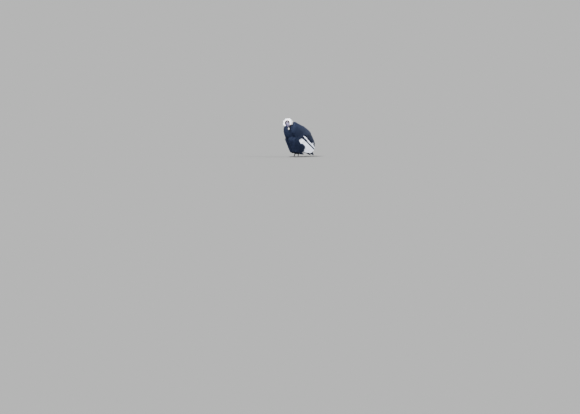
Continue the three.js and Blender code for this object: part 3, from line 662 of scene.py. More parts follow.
def eye_material():
    """Dark pupil, brown iris with fine rays and a dark rim, under a clear wet coat."""
    nodes = Nodes("eye")
    out = nodes.attribute("out")
    rays = nodes.noise(700.0)
    iris = nodes.mix(nodes.times(rays, 0.7), IRIS, IRIS_RAY)
    inner = nodes.mix(nodes.ramp(out, 0.20, 0.235), PUPIL, iris)
    nodes.set(Base_Color=nodes.mix(nodes.ramp(out, 0.42, 0.48), inner, IRIS_RIM))
    nodes.set(Roughness=0.12, Coat_Weight=1.0, Coat_Roughness=0.02)
    nodes.set(Normal=nodes.bump(rays, 0.0001, 0.2))
    return nodes.material


# Skin, the bare and fleshy parts in one surface


def arm_lift(along, up, spare):
    """Lift of the arm's outer face off the wing's sheet."""
    share = np.clip((up - arm_bottom(along)) / (arm_top(along) - arm_bottom(along)), 0, 1)
    swell = np.sqrt(np.maximum(0, 1 - (2 * share - 1) ** 4))
    inner = arm_inner(along) + 2
    return inner + (arm_outer(along) - spare - inner) * swell


def arm_pad(side):
    """The arm's flesh under the lesser coverts."""
    rings = []
    for along in np.linspace(-46, 275, 16):
        up = np.linspace(arm_bottom(along) + 8, arm_top(along) - 8, 14)
        outer = wing_point(along, up, arm_lift(along, up, 9), side)
        inner = wing_point(along, up[::-1], arm_inner(along), side)
        rings.append(np.concatenate([outer, inner]))
    return tube(rings)


def head_relief(points):
    """Height in mm of lids, brow, ear, mouth, creases and the neck's folds, and of comb and wattle."""
    ahead, left, up = head_place(points)
    out = np.abs(left)
    cheek = ease(10, 19, out)
    from_eye = np.hypot(ahead - EYE_AHEAD, (up - EYE_UP) * 1.15)
    from_lid = from_eye - 9.2
    rings = np.cos(from_lid * 2 * math.pi / 3.4) * bell(from_eye - 12, 6.5)
    lift = (1.1 * bell(from_lid, 1.5) + 0.75 * rings) * cheek
    from_ear = np.hypot((ahead - EAR_AHEAD) / 4.5, (up - EAR_UP) / 5.5)
    lift += (-3.0 * bell(from_ear, 1) + 0.9 * bell(from_ear - 1.7, 0.5)) * cheek
    brow = bell(up - EYE_UP - 9 - 0.012 * (ahead - EYE_AHEAD) ** 2, 2.6)
    lift += 1.5 * brow * ease(-6, 4, ahead) * ease(40, 30, ahead) * cheek
    behind = 48 - ahead
    gape = bell(up + 6 + 0.14 * behind, 1.5) * ease(22, 30, ahead)
    fold = bell(up + 9.5 + 0.20 * behind, 1.6) * ease(18, 28, ahead)
    lift += (-1.9 * gape + 1.0 * fold) * ease(6, 12, out) * ease(58, 54, ahead)
    comb = ease(31, 36, up + 1.5 * ripple(points, 14, 12)) * ease(14, 8, out)
    wattle = ease(-31, -36, up) * ease(-14, -6, ahead)
    lift += comb * (1.3 * ripple(points, 11, 3) + 0.7 * ripple(points, 5, 4))
    lift += wattle * (0.8 * ripple(points, 9, 5) + 0.5 * ripple(points, 4.5, 6))
    bend = 5.0 * ripple(points, 30, 13) + 1.6 * ripple(points, 11, 17)
    depth = 0.50 + 0.30 * ripple(points, 22, 18)
    crown = ease(4, 16, up) * (1 - comb) * ease(36, 20, ahead)
    lift += crown * depth * np.sin((ahead + bend) * 2 * math.pi / 4.6)
    nape = ease(2, -14, ahead) * cheek
    lift += nape * depth * np.sin((up * 0.6 + ahead * 0.8 + bend) * 2 * math.pi / 4.2)
    _, share = near_neck(points)
    neck = ease(-30, -46, ahead + 0.4 * up)
    lift += neck * 1.3 * np.sin(share * 2 * math.pi * 15 + ripple(points, 60, 8) * 2.5)
    return lift + (1 - comb) * 0.40 * ripple(points, 6, 9)


def sculpt_legs(piece):
    """Plates across the front of the lower legs and the tops of the toes."""
    points, normals = vertices_of(piece), normals_of(piece)
    middle = stack(np.sign(points[:, 0]) * LEG_SIDE, LEG_Y)
    reach = np.linalg.norm(points[:, :2] - middle, axis=1)
    toe = ease(0.022, 0.030, reach) * ease(0.1, 0.6, normals[:, 2])
    shin = ease(0.026, 0.034, points[:, 2]) * ease(0.0, 0.6, -normals[:, 1])
    plates = toe * np.abs(np.sin(reach * math.pi / TOE_PLATE))
    plates = plates + shin * np.abs(np.sin(points[:, 2] * math.pi / SHIN_PLATE))
    lift = 0.9 * plates * ease(0.0005, 0.004, points[:, 2]) * MM
    points = points + normals * lift[:, None]
    points[:, 2] = np.maximum(points[:, 2], 0)
    move_vertices(piece, points)


def skin_marks(points):
    """How far each point is bare, leg, comb, hollow, neck and crease shade, from 0 to 1. Hollow is painted
    shade in the eye sockets and ear openings, with darker lores and crown; crease shade is painted shade in
    the folds.
    """
    ahead, left, up = head_place(points)
    out = np.abs(left)
    neck_away, _ = near_neck(points)
    head_away = np.linalg.norm(points - head_middle, axis=1)
    bare = np.maximum(ease(0.056, 0.050, neck_away), ease(0.085, 0.075, head_away))
    uneven = ripple(points, 16, 14) + 0.6 * ripple(points, 7, 15)
    crest = ease(29, 35, up + 2 * uneven) * ease(16, 10, out)
    wattle = ease(-29, -35, up + 2 * uneven) * ease(-18, -8, ahead)
    from_eye = np.hypot(ahead - EYE_AHEAD, up - EYE_UP)
    socket = ease(13, 8, from_eye + uneven) * ease(14, 20, out)
    lores = ease(36, 50, ahead + 2 * uneven) * 0.9
    crown = ease(6, 20, up + 3 * uneven) * ease(18, 10, out) * 0.45
    ear = bell(ahead - EAR_AHEAD, 4) * bell(up - EAR_UP, 5) * ease(12, 20, out)
    return {
        "bare": bare * ease(-14, -4, ruff_place(points)[1]),
        "leg": ease(0.108, 0.100, points[:, 2]),
        "comb": np.maximum(crest, wattle),
        # hollow: painted shade in the eye sockets and ear openings, with darker lores and crown
        "hollow": np.maximum.reduce([socket, lores, crown, ear]),
        "neck": ease(-32, -48, ahead + 0.4 * up + 3 * uneven),
        # crease shade: painted shade where the relief sinks into folds
        "crease_shade": ease(-0.1, -1.1, head_relief(points)),
    }


def unwrap(points, centres):
    """Places on a flat chart of the skin: each part is rolled out round its own axis."""
    head_away = np.linalg.norm(centres - head_middle, axis=1)
    neck_away, _ = near_neck(centres)
    part = np.where(centres[:, 2] < 0.30, np.where(centres[:, 0] > 0, 1, 2), 0)
    part = np.where((neck_away < 0.06) | (head_away < 0.085), 3, part)
    down = np.array((0, 0.0, -1.0))
    parts = (
        (down_slope, body_point(200, 0, 0), 0.75),
        (down, np.array((LEG_SIDE, -0.09, 0.15)), 0.36),
        (down, np.array((-LEG_SIDE, -0.09, 0.15)), 0.36),
        (np.array((0.35, -0.25, -0.9)), head_middle, 0.30),
    )
    chart = np.zeros((len(points), 2))
    for index, (axis, middle, length) in enumerate(parts):
        chosen = part == index
        axis = unit(axis)
        level = unit(np.cross(axis, (0.3, 0.2, 1.0) if index == 0 else (1.0, 0.1, 0.0)))
        third = np.cross(axis, level)
        away, centre = points[chosen] - middle, centres[chosen] - middle
        centre_turn = np.arctan2(centre @ third, centre @ level)
        turn = np.arctan2(away @ third, away @ level) - centre_turn
        turn = centre_turn + (turn + math.pi) % (2 * math.pi) - math.pi
        chart[chosen, 0] = index % 2 * 0.5 + 0.25 + turn / (2 * math.pi) * CHART_SPAN
        chart[chosen, 1] = index // 2 * 0.5 + 0.25 + away @ axis / length * CHART_SPAN
    return chart


def chart_skin(piece):
    """The skin's unwrap, face by face, so that no face crosses a seam."""
    polygons = piece.data.polygons
    faces = np.repeat(np.arange(len(polygons)), read(polygons, "loop_total"))
    points = vertices_of(piece)[corner_points(piece)]
    sums = np.zeros((len(polygons), 3))
    np.add.at(sums, faces, points)
    centres = sums / np.bincount(faces)[:, None]
    set_uv(piece, "OFBake", unwrap(points, centres[faces]))


def face_charts(piece):
    """Where each face of the skin lies on its unwrap."""
    chart = read(piece.data.uv_layers["OFBake"].uv, "vector", 2, np.float32).astype(float)
    return chart[read(piece.data.polygons, "loop_start")]


def add_skin(material):
    parts = [grown_copy("skin", TRUNK)]
    parts += [arm_pad(side) for _, side in SIDES]
    body = joined(parts)
    remesh(body, BODY_VOXEL, 6)
    grow(body, -SKIN_DEPTH)
    head = grown_copy("head_skin", HEAD, 0.0006)
    remesh(head, FINE_VOXEL, 12)
    points = vertices_of(head)
    move_vertices(head, points + normals_of(head) * (head_relief(points) * MM)[:, None])
    legs = grown_copy("leg_skin", LEGS, 0.0005)
    remesh(legs, FINE_VOXEL, 5)
    sculpt_legs(legs)
    for part in (head, legs):
        apply_modifier(body, "BOOLEAN", operation="UNION", solver="MANIFOLD", object=part)
        bpy.data.objects.remove(part)
    chart_skin(body)
    finish(body, material, "bare_skin", TRUNK + HEAD + LEGS, skin_marks(vertices_of(body)))
    return body


# Horn and eyes


def add_bills(material):
    base = 42
    for node, hook in (("bill_upper", 122), ("bill_lower", 104)):
        piece = copy_of(node + "_horn", [node])
        remesh(piece, BILL_VOXEL, 10)
        grow(piece, 0.0003)
        if node == "bill_lower":
            points = vertices_of(piece)
            close = MOUTH_GAP * ease(-19, -9, head_place(points)[2]) * MM
            move_vertices(piece, points + crown_up * close[:, None])
        ahead, _, _ = head_place(vertices_of(piece))
        finish(piece, material, "bill", [node], {"tip": (ahead - base) / (hook - base)})


def add_eyes(material):
    for side, sign in SIDES:
        low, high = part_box(f"eye_{side}")
        middle = np.array((low + high) / 2)
        bpy.ops.mesh.primitive_uv_sphere_add(
            segments=48, ring_count=24, radius=EYE_RADIUS, location=tuple(middle)
        )
        bpy.ops.object.transform_apply(location=True)
        eye = bpy.context.object
        eye.name = f"eyeball_{side}"
        gaze = unit(head_left * sign + bill_ahead * 0.12 + crown_up * 0.10)
        away = unit(vertices_of(eye) - middle)
        out = np.arccos(np.clip(away @ gaze, -1, 1)) / math.pi * 2.2
        finish(eye, material, "eye", [f"eye_{side}"], {"out": out})


def add_claws(material):
    for side, _ in SIDES:
        nodes = [f"claw_{side}_{toe}" for toe in TOES]
        piece = copy_of(f"claws_{side}", nodes)
        remesh(piece, CLAW_VOXEL, 8)
        grow(piece, 0.0004)
        points = vertices_of(piece)
        points[:, 2] = np.maximum(points[:, 2], 0.0002)
        move_vertices(piece, points)
        finish(piece, material, "claw_horn", nodes)


# Feathers: places across a vane, stations along it, and outlines as places along it and half widths

VANE = np.array((-1, -0.55, -0.12, 0, 0.12, 0.55, 1))
FINE_VANE = np.array((-1, -0.84, -0.67, -0.5, -0.32, -0.12, 0, 0.12, 0.32, 0.5, 0.67, 0.84, 1))
VANE_STATIONS = np.linspace(0, 1, 18) ** 0.85
LEAF = np.array((-1.0, -0.68, -0.34, 0.0, 0.34, 0.68, 1.0))
LEAF_STATIONS = np.array((0, 0.35, 0.62, 0.82, 0.94, 1.0))
LEAF_WIDTHS = np.array((0.55, 0.93, 1.0, 0.86, 0.56, 0.14))
FLIGHT_SHAPE = ((0, 0.12, 0.3, 0.6, 0.85, 0.94, 0.98, 1), (0.45, 0.7, 0.92, 1, 0.96, 0.78, 0.5, 0.15))
COVERT_SHAPE = ((0, 0.2, 0.5, 0.75, 0.9, 0.97, 1), (0.5, 0.75, 0.98, 1, 0.80, 0.50, 0.12))
TAIL_SHAPE = ((0, 0.3, 0.6, 0.9, 0.97, 1), (0.6, 0.85, 1, 0.96, 0.7, 0.25))
PRIMARY_SHAPE = ((0, 0.35, 0.6, 0.8, 0.93, 1), (0.6, 1, 0.97, 0.82, 0.55, 0.1))
BAKE_PATCH = 0.003

# Feathers on a sheet: places of roots and tips, lifts of both, half width, bow, tilt and thickness
Feathers = namedtuple("Feathers", "root tip lift half bow tilt thickness", defaults=(0.0, 0.0, 1.0))


def sharpen_rims(piece, stations, around, rims):
    """Marks the side edges and the tip of every vane as sharp, so that its faces stay flat up to them."""
    edges = read(piece.data.edges, "vertices", 2)
    column = edges % around
    station = edges // around % stations
    side = (column[:, 0] == column[:, 1]) & np.isin(column[:, 0], rims)
    sharp = side | (station.min(axis=1) == stations - 1)
    piece.data.attributes.new("sharp_edge", "BOOLEAN", "EDGE").data.foreach_set("value", sharp)


def vane_piece(name, ring, places, roots, marks, material, slot, replaced=(), turned=False):
    """Closed thin vanes, from rings of points: vanes by stations by points round."""
    count, stations, around = ring.shape[:3]
    start = (np.arange(count) * stations * around)[:, None, None]
    here = start + (np.arange(stations - 1) * around)[:, None] + np.arange(around)
    turn_on = np.roll(here, -1, axis=2)
    quads = np.stack([here, turn_on, turn_on + around, here + around], axis=-1).reshape(-1, 4)
    first = start[:, 0] + np.arange(around)[::-1]
    last = start[:, 0] + (stations - 1) * around + np.arange(around)
    if turned:
        quads, first, last = quads[:, ::-1], first[:, ::-1], last[:, ::-1]
    piece = mesh_object(name, ring.reshape(-1, 3), quads.tolist() + first.tolist() + last.tolist())
    sharpen_rims(piece, stations, around, np.flatnonzero(np.abs(places) > 0.99))
    steps = np.linalg.norm(np.diff(ring.mean(axis=2), axis=1), axis=2).mean(axis=0)
    down = np.concatenate([[0], np.cumsum(steps)]) / steps.sum()
    vane = np.broadcast_to(stack((places + 1) / 2, down[:, None]), (count, stations, around, 2))
    patch = stack(places * BAKE_PATCH / 2, (down[:, None] - 0.5) * BAKE_PATCH)
    found = [skin_tree.find_nearest(Vector(root))[2] for root in roots]
    baked = skin_chart[np.array(found)][:, None, None] + patch
    corners = corner_points(piece)
    set_uv(piece, "Vane", vane.reshape(-1, 2)[corners])
    set_uv(piece, "OFBake", baked.reshape(-1, 2)[corners])
    for label, values in marks.items():
        values = values[:, None, None] if values.ndim == 1 else values
        marks[label] = np.broadcast_to(values, (count, stations, around))
    finish(piece, material, slot, replaced, marks)


def sheet_feathers(sheet, row, shape, places, seed):
    """Tops and bottoms of feathers on a sheet, with small splits along their edges, and their places."""
    draw = np.random.default_rng(seed)
    t = LEAF_STATIONS if places is LEAF else VANE_STATIONS
    count = len(row.root)
    run = row.tip - row.root
    across = unit(np.stack([-run[:, 1], run[:, 0]], axis=1))[:, None]
    bend = np.broadcast_to(row.bow, count)[:, None] * 4 * t * (1 - t)
    middle = row.root[:, None] + run[:, None] * t[:, None] + across * bend[..., None]
    width = np.broadcast_to(row.half, count)[:, None] * np.interp(t, *shape)
    width = width * (1 + 0.035 * draw.normal(size=width.shape))
    width = (width * np.where(draw.random(width.shape) < 0.07, 0.86, 1))[..., None]
    offset = width * places
    along = middle[..., :1] + across[..., :1] * offset
    up = middle[..., 1:] + across[..., 1:] * offset
    shaft = np.where(np.abs(places) < 0.05, 0.7, 0.0) * (1 - 0.8 * t)[:, None]
    camber = -0.03 * width * places**2
    lift = mix(row.lift[:, :1], row.lift[:, 1:], t)[..., None]
    height = lift - row.tilt * offset + shaft + camber
    thick = row.thickness * (1 - np.abs(places) ** 4) * (1 - 0.5 * t)[:, None]
    return sheet(along, up, height), sheet(along, up, height - thick), along, up


def all_black(along, up):
    return np.zeros_like(along)


def white_panel(along, up):
    """The white panel, the black line over it and the white stripe over that: 0.5 at their edges."""
    stripe = np.minimum(stripe_top(along) - up, up - stripe_bottom(along))
    inside = np.minimum(np.maximum(stripe, panel_top(along) - up), along - 296)
    return np.clip(0.5 + inside / 20, 0, 1)


def white_tips(along, up):
    """White ends of the innermost flight feathers."""
    return np.clip(0.5 + np.minimum(stripe_top(along) + 8 - up, along - 590) / 20, 0, 1)


def sheet_piece(name, sheet, rows, shape, places, seed, draw, marking=all_black, **finished):
    """A piece of feathers that lie on a sheet. A small feather has one line of points below."""
    parts = [sheet_feathers(sheet, row, shape, places, seed) for row in rows]
    top, bottom, along, up = (np.concatenate(values) for values in zip(*parts))
    below = [3] if places is LEAF else list(range(len(places) - 2, 0, -1))
    ring = np.concatenate([top, bottom[:, :, below]], axis=2)
    mark = marking(along, up)
    marks = {"mark": np.concatenate([mark, mark[:, :, below]], axis=2), "tone": draw.random(len(top))}
    roots = top[:, 0, len(places) // 2]
    vane_piece(name, ring, np.concatenate([places, places[below]]), roots, marks, **finished)


def row_of(count, root, tip, lift, half, bow=0.0, tilt=0.13, thickness=0.9, uneven=4.0, seed=1):
    """A row of feathers from the lowest to the highest. Each place is a curve or the values at both ends."""
    draw = np.random.default_rng(seed)
    t = np.linspace(0, 1, count)

    def spread(places):
        return stack(*(ends(t) if callable(ends) else mix(*ends, t) for ends in places))

    tips = spread(tip) + draw.normal(size=(count, 2)) * (uneven * 0.6, uneven * 0.25)
    widths = half * (1 + 0.05 * draw.normal(size=count))
    return Feathers(spread(root), tips, spread(lift), widths, bow, tilt, thickness)


def wing_rows():
    """Every row of a wing, from the body outwards: its name, feathers, outline and markings."""
    primaries = row_of(
        10, ((262, 262), (-116, -54)), (primary_along, primary_up), ((6.5, 6.5), (6.5, 6.5)),
        half=23, bow=-4, tilt=0.19, uneven=3, seed=11,
    )
    secondaries = row_of(
        19, ((262, 262), (-106, 66)), (secondary_along, secondary_up), ((20, 20), (20, 20)),
        half=33, bow=4, tilt=0.15, thickness=1.0, uneven=5, seed=12,
    )
    greater = row_of(
        17, ((258, 258), (-106, 62)), ((388, 452), (-142, 64)), ((25, 25), (31, 31)), half=21, seed=13,
    )
    median = row_of(
        16, ((205, 205), (-110, 64)), ((300, 322), (-126, 62)), ((27, 27), (40, 40)), half=19, seed=14,
    )
    tertials = row_of(
        8, ((228, 228), (98, 188)), ((728, 560), (112, 178)), ((22, 18), (27, 27)),
        half=34, bow=6, tilt=0.16, thickness=1.0, seed=15,
    )
    scapulars = row_of(
        9, ((198, 176), (76, 180)), ((400, 470), (92, 204)), ((26, 20), (38, 36)),
        half=27, bow=4, tilt=0.15, thickness=1.0, uneven=8, seed=16,
    )
    return (
        ("primaries", primaries, PRIMARY_SHAPE, all_black),
        ("secondaries", secondaries, FLIGHT_SHAPE, white_panel),
        ("greater_coverts", greater, COVERT_SHAPE, white_panel),
        ("median_coverts", median, COVERT_SHAPE, all_black),
        ("tertials", tertials, FLIGHT_SHAPE, white_tips),
        ("scapulars", scapulars, COVERT_SHAPE, all_black),
    )


def add_wing(side, sign, material):
    def sheet(along, up, lift):
        return wing_point(along, up, lift, sign)

    nodes = {"primaries": "primaries", "secondaries": "secondaries", "median_coverts": "wing"}
    for k, (name, row, shape, marking) in enumerate(wing_rows()):
        sheet_piece(
            f"{name}_{side}_vanes", sheet, [row], shape, VANE if marking is all_black else FINE_VANE,
            20 + k, np.random.default_rng(50 + k), marking,
            material=material, turned=sign > 0,
            slot="white_feathers" if marking is white_panel else "black_feathers",
            replaced=[f"{nodes[name]}_{side}"] if name in nodes else (),
        )
    draw = np.random.default_rng(31)
    sheet_piece(
        f"lesser_coverts_{side}_vanes", sheet, [lesser_coverts(draw)], COVERT_SHAPE, LEAF, 32, draw,
        material=material, turned=sign > 0, slot="black_feathers",
    )


def lesser_coverts(draw):
    """Small rounded feathers in rows over the arm."""
    rows = []
    for k, along in enumerate(np.arange(-54, 236, 10.0)):
        low = arm_bottom(along) + 4 + 6.5 * (k % 2)
        rows.append(stack(along, np.arange(low, arm_top(along) - 4, 13.0)))
    roots = np.concatenate(rows)
    count = len(roots)
    roots = roots + draw.normal(size=(count, 2)) * 2.8
    length = mix(28, 44, np.clip((roots[:, 0] + 50) / 280, 0, 1)) * (1 + 0.11 * draw.normal(size=count))
    lean = (roots[:, 1] - wing_middle(roots[:, 0])) * 0.0009 + 0.13 * draw.normal(size=count)
    tips = roots + stack(length * np.cos(lean), length * np.sin(lean))
    lift = stack(arm_lift(*roots.T, 3), arm_lift(*tips.T, -4))
    half = 11.0 * (1 + 0.12 * draw.normal(size=count))
    return Feathers(roots, tips, lift, half, draw.normal(size=count), 0.03, 0.6)


def add_tail(material):
    draw = np.random.default_rng(41)
    finished = {"material": material, "slot": "black_feathers"}
    order = np.arange(TAIL_FEATHERS // 2)
    rows = []
    for sign in (-1, 1):
        rank = (order + 0.5) * sign
        layer = 2 * order + (sign > 0)
        length = TAIL_LENGTH - 3 * np.abs(rank) + 3 * draw.normal(size=len(rank))
        lift = stack(6.0 - layer, 12 - 2.2 * layer)
        rows.append(Feathers(stack(12, rank * 6), stack(length, rank * 8.5), lift, 29.0, thickness=1.1))
    sheet_piece(
        "tail_vanes", tail_point, rows, TAIL_SHAPE, VANE, 42, draw, replaced=["tail"], **finished
    )
    around, rows = 11, 8
    rank = np.tile(np.linspace(-1, 1, around), rows)
    start = np.repeat(np.linspace(-38, 84, rows), around)
    count = len(start)
    for label, face in (("over", 1), ("under", -1)):
        along = start + 2.1 * draw.normal(size=count)
        across = rank * (46 - 0.06 * start) + 2 * draw.normal(size=count)
        height = face * (15 - 0.06 * start) * np.sqrt(1 - 0.55 * rank**2)
        long = 74 + 8 * draw.normal(size=count)
        lift = stack(height * 0.8, height + face * (5 - long * 0.05))
        row = Feathers(stack(along, across), stack(along + long, across * 0.86), lift, 15.0)
        name = f"tail_coverts_{label}"
        sheet_piece(name, tail_point, [row], COVERT_SHAPE, LEAF, 43, draw, **finished)


# Small feathers of the body


def spread_points(piece, spacing, seed):
    """Places spread evenly over a mesh, none nearer to another than the spacing."""
    draw = np.random.default_rng(seed)
    mesh = piece.data
    mesh.calc_loop_triangles()
    first, second, third = vertices_of(piece)[read(mesh.loop_triangles, "vertices", 3)].swapaxes(0, 1)
    sizes = np.linalg.norm(np.cross(second - first, third - first), axis=1) / 2
    tries = int(7 * sizes.sum() / spacing**2)
    pick = draw.choice(len(sizes), tries, p=sizes / sizes.sum())
    share = draw.random((2, tries))
    share = np.where(share.sum(axis=0) > 1, 1 - share, share)[..., None]
    first, second, third = first[pick], second[pick], third[pick]
    points = first + (second - first) * share[0] + (third - first) * share[1]
    cells, kept = {}, []
    for index, point in enumerate(points.tolist()):
        cell = tuple(math.floor(value / spacing) for value in point)
        block = itertools.product(*((value - 1, value, value + 1) for value in cell))
        if all(math.dist(point, other) >= spacing for key in block for other in cells.get(key, ())):
            cells.setdefault(cell, []).append(point)
            kept.append(index)
    return points[kept]


def along_surface(ahead, normal):
    return (ahead - normal * ahead.dot(normal)).normalized()


def surface_feathers(name, tree, roots, heading, length, half, material, seed):
    """Small ragged feathers that follow a surface from their roots along a heading."""
    draw = np.random.default_rng(seed)
    count, last = len(roots), len(LEAF_STATIONS) - 1
    ring = np.zeros((count, last + 1, len(LEAF) + 1, 3))
    ragged = draw.uniform(-0.11, 0.03, (count, len(LEAF)))
    ragged[:, 3] = 0.03
    for i in range(count):
        point, normal, _, _ = tree.find_nearest(Vector(roots[i]))
        ahead = along_surface(Vector(heading[i]), normal)
        ahead = (ahead + normal.cross(ahead) * (draw.normal() * 0.17)).normalized()
        tip_rise = BODY_RISE[1] + draw.normal() * 0.0012
        roll = draw.normal() * 0.12
        for s, t in enumerate(LEAF_STATIONS):
            sideways = ahead.cross(normal)
            centre = point + normal * mix(BODY_RISE[0], tip_rise, t)
            wide = half[i] * LEAF_WIDTHS[s]
            for k, place in enumerate(LEAF):
                sag = wide * (0.24 * place * place + roll * place)
                reach = length[i] * ragged[i, k] * t**5
                ring[i, s, k] = centre + sideways * (wide * place) - normal * sag + ahead * reach
            ring[i, s, 3] += np.array(normal) * 0.0003
            ring[i, s, -1] = centre - normal * (0.0006 + 0.10 * wide)
            if s < last:
                onward = point + ahead * (length[i] * (LEAF_STATIONS[s + 1] - t))
                point, next_normal, _, _ = tree.find_nearest(onward)
                normal = (normal + next_normal).normalized()
                ahead = along_surface(ahead, normal)
    marks = {"mark": np.zeros(count), "tone": draw.random(count)}
    vane_piece(name, ring, np.append(LEAF, 0.0), roots, marks, material, "black_feathers")


def flank_pad(side):
    """The thin pad of feathers that hangs from the flank over the lower front of the folded wing."""
    rings = []
    for along in np.linspace(205, 655, 26):
        up = np.linspace(flank_bottom(along), flank_top(along), 14)
        lift = flank_lift(along) - 4 * np.linspace(-1, 1, 14) ** 4
        outer = wing_point(along, up, lift, side)
        inner = wing_point(along, up[::-1], lift - 26, side)
        rings.append(np.concatenate([outer, inner]))
    return tube(rings)


def mantle_pad(side):
    """Half of the back's feather bed, which fills the hollow between the wings down to the tail."""
    share = np.linspace(-0.1, 1, 12)
    rings = []
    for along in np.linspace(175, 695, 28):
        half = min(float(mantle_half(along)), float(wing_side(along, mantle_top(along))) + 4)
        up = mantle_top(along) + 10 * share**2
        over = body_point(along, up, side * half * share)
        under = body_point(along, up[::-1] - 34, side * half * share[::-1])
        rings.append(np.concatenate([over, under]))
    return tube(rings)


def cover_form():
    """One smooth form under the black feathers of body, thighs and flanks."""
    parts = [grown_copy("cover_form", TRUNK)]
    parts += [pad(side) for _, side in SIDES for pad in (flank_pad, mantle_pad, arm_pad)]
    body = joined(parts)
    remesh(body, 0.008, 30)
    points, normals = vertices_of(body), normals_of(body)
    for side in (-1, 1):
        faced = ease(0.45, 1.0, normals @ unit(np.array((side * 0.55, -0.84, 0.0))))
        points += normals * (faced * front_fullness(points[:, 2]))[:, None]
    move_vertices(body, points)
    return body


def feather_roots(form, tree):
    """Roots of the body feathers that show, and 1 for those on the flanks' pads."""
    parts = [f"{part}_{side}" for side, _ in SIDES for part in ("wing", "secondaries")]
    covers = [tree_of(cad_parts[part]) for part in parts]
    roots = spread_points(form, BODY_SPACING, 61)
    along, up = body_place(roots)
    outside = np.abs(roots[:, 0]) / MM - wing_side(along, up)
    in_pad = (outside > flank_lift(along) - 32) & (along > 210) & (along < 675)
    in_pad &= (up < flank_top(along) + 8) & (up > drape_bottom(along))
    in_drape = (along > 215) & (along < 550) & (up < drape_top(along))
    keep = np.zeros(len(roots), bool)
    for i, root in enumerate(roots):
        _, normal, _, _ = tree.find_nearest(Vector(root))
        start = Vector(root) + normal * 0.003
        hidden = any(cover.ray_cast(start, normal, 0.09)[0] is not None for cover in covers)
        if in_pad[i]:
            keep[i] = in_drape[i] and not hidden and normal[0] * root[0] > 0
        else:
            keep[i] = along[i] < 20 or not hidden
    return roots[keep], in_pad[keep].astype(float)


def feather_heading(points, on_flank):
    """Where body feathers point: away from the neck, down the slope, down the thighs, back on the flanks."""
    away = points - np.array((0.004, -0.245, 0.742))
    near = bell(np.linalg.norm(away, axis=1), 0.20)[:, None]
    torso = unit(down_slope + 1.6 * near * unit(away) + np.array((0, 0, -0.25)))
    thigh = np.array((0, 0.10, -1.0))
    leg = (ease(0.52, 0.36, points[:, 2]) * ease(0.12, 0.05, points[:, 1]))[:, None]
    _, up = body_place(points)
    turn = np.radians(mix(-38, 16, np.clip((up + 260) / 150, 0, 1)))[:, None]
    flank = down_slope * np.cos(turn) + square_up * np.sin(turn)
    return unit(mix(mix(torso, thigh, leg), flank, on_flank[:, None]))


def add_body_feathers(material):
    form = cover_form()
    tree = tree_of(form)
    roots, on_flank = feather_roots(form, tree)
    bpy.data.objects.remove(form)
    heading = feather_heading(roots, on_flank)
    draw = np.random.default_rng(62)
    count = len(roots)
    along, _ = body_place(roots)
    length = MM * mix(38, 60, np.clip((along + 100) / 500, 0, 1)) * (1 + 0.13 * draw.normal(size=count))
    room = roots[:, 2] - GROUND_ROOM - 0.020 * draw.random(count)
    length = np.where(roots[:, 1] < 0.10, np.minimum(length, np.maximum(room, 0.020)), length)
    half = BODY_HALF * (1 + 0.12 * draw.normal(size=count))
    for part, chosen in enumerate(np.array_split(np.argsort(roots[:, 0]), 3)):
        values = (roots[chosen], heading[chosen], length[chosen], half[chosen])
        surface_feathers(f"body_feathers_{part + 1}", tree, *values, material, 63 + part)


# Ruff of white down


def ruff_inside(points):
    """1 on the ruff's inner side, next to the bare neck, and 0 on its outer side."""
    return ease(RUFF_INNER + 5, RUFF_INNER - 3, ruff_place(points)[0])


def add_ruff(material):
    base = grown_copy("ruff_base", ["ruff"])
    remesh(base, 0.0050, 8)
    grow(base, 0.003)
    remesh(base, FINE_VOXEL, 30)
    points = vertices_of(base)
    fluff = 0.0006 + 0.0030 * ripple(points, 24, 71) + 0.0020 * ripple(points, 11, 72)
    fluff += 0.0012 * ripple(points, 6, 73) + 0.0006 * ripple(points, 3.4, 74)
    fluff *= 1 - 0.85 * ruff_inside(points)
    move_vertices(base, points + normals_of(base) * fluff[:, None])
    # depth paints shade: greyer under the strands, and dark with the shade of the hollow on the inner side
    depth = 0.9 + 1.1 * ruff_inside(vertices_of(base))
    finish(base, material, "white_down", ["ruff"], {"depth": depth})
    tree = tree_of(base)
    roots = spread_points(base, RUFF_SPACING, 73)
    roots = roots[ruff_inside(roots) < 0.6]
    normals = np.array([tree.find_nearest(Vector(root))[1] for root in roots])
    for part, chosen in enumerate(np.array_split(np.argsort(roots[:, 0]), 4)):
        add_tufts(f"ruff_down_{part + 1}", roots[chosen], normals[chosen], material, 74 + part)


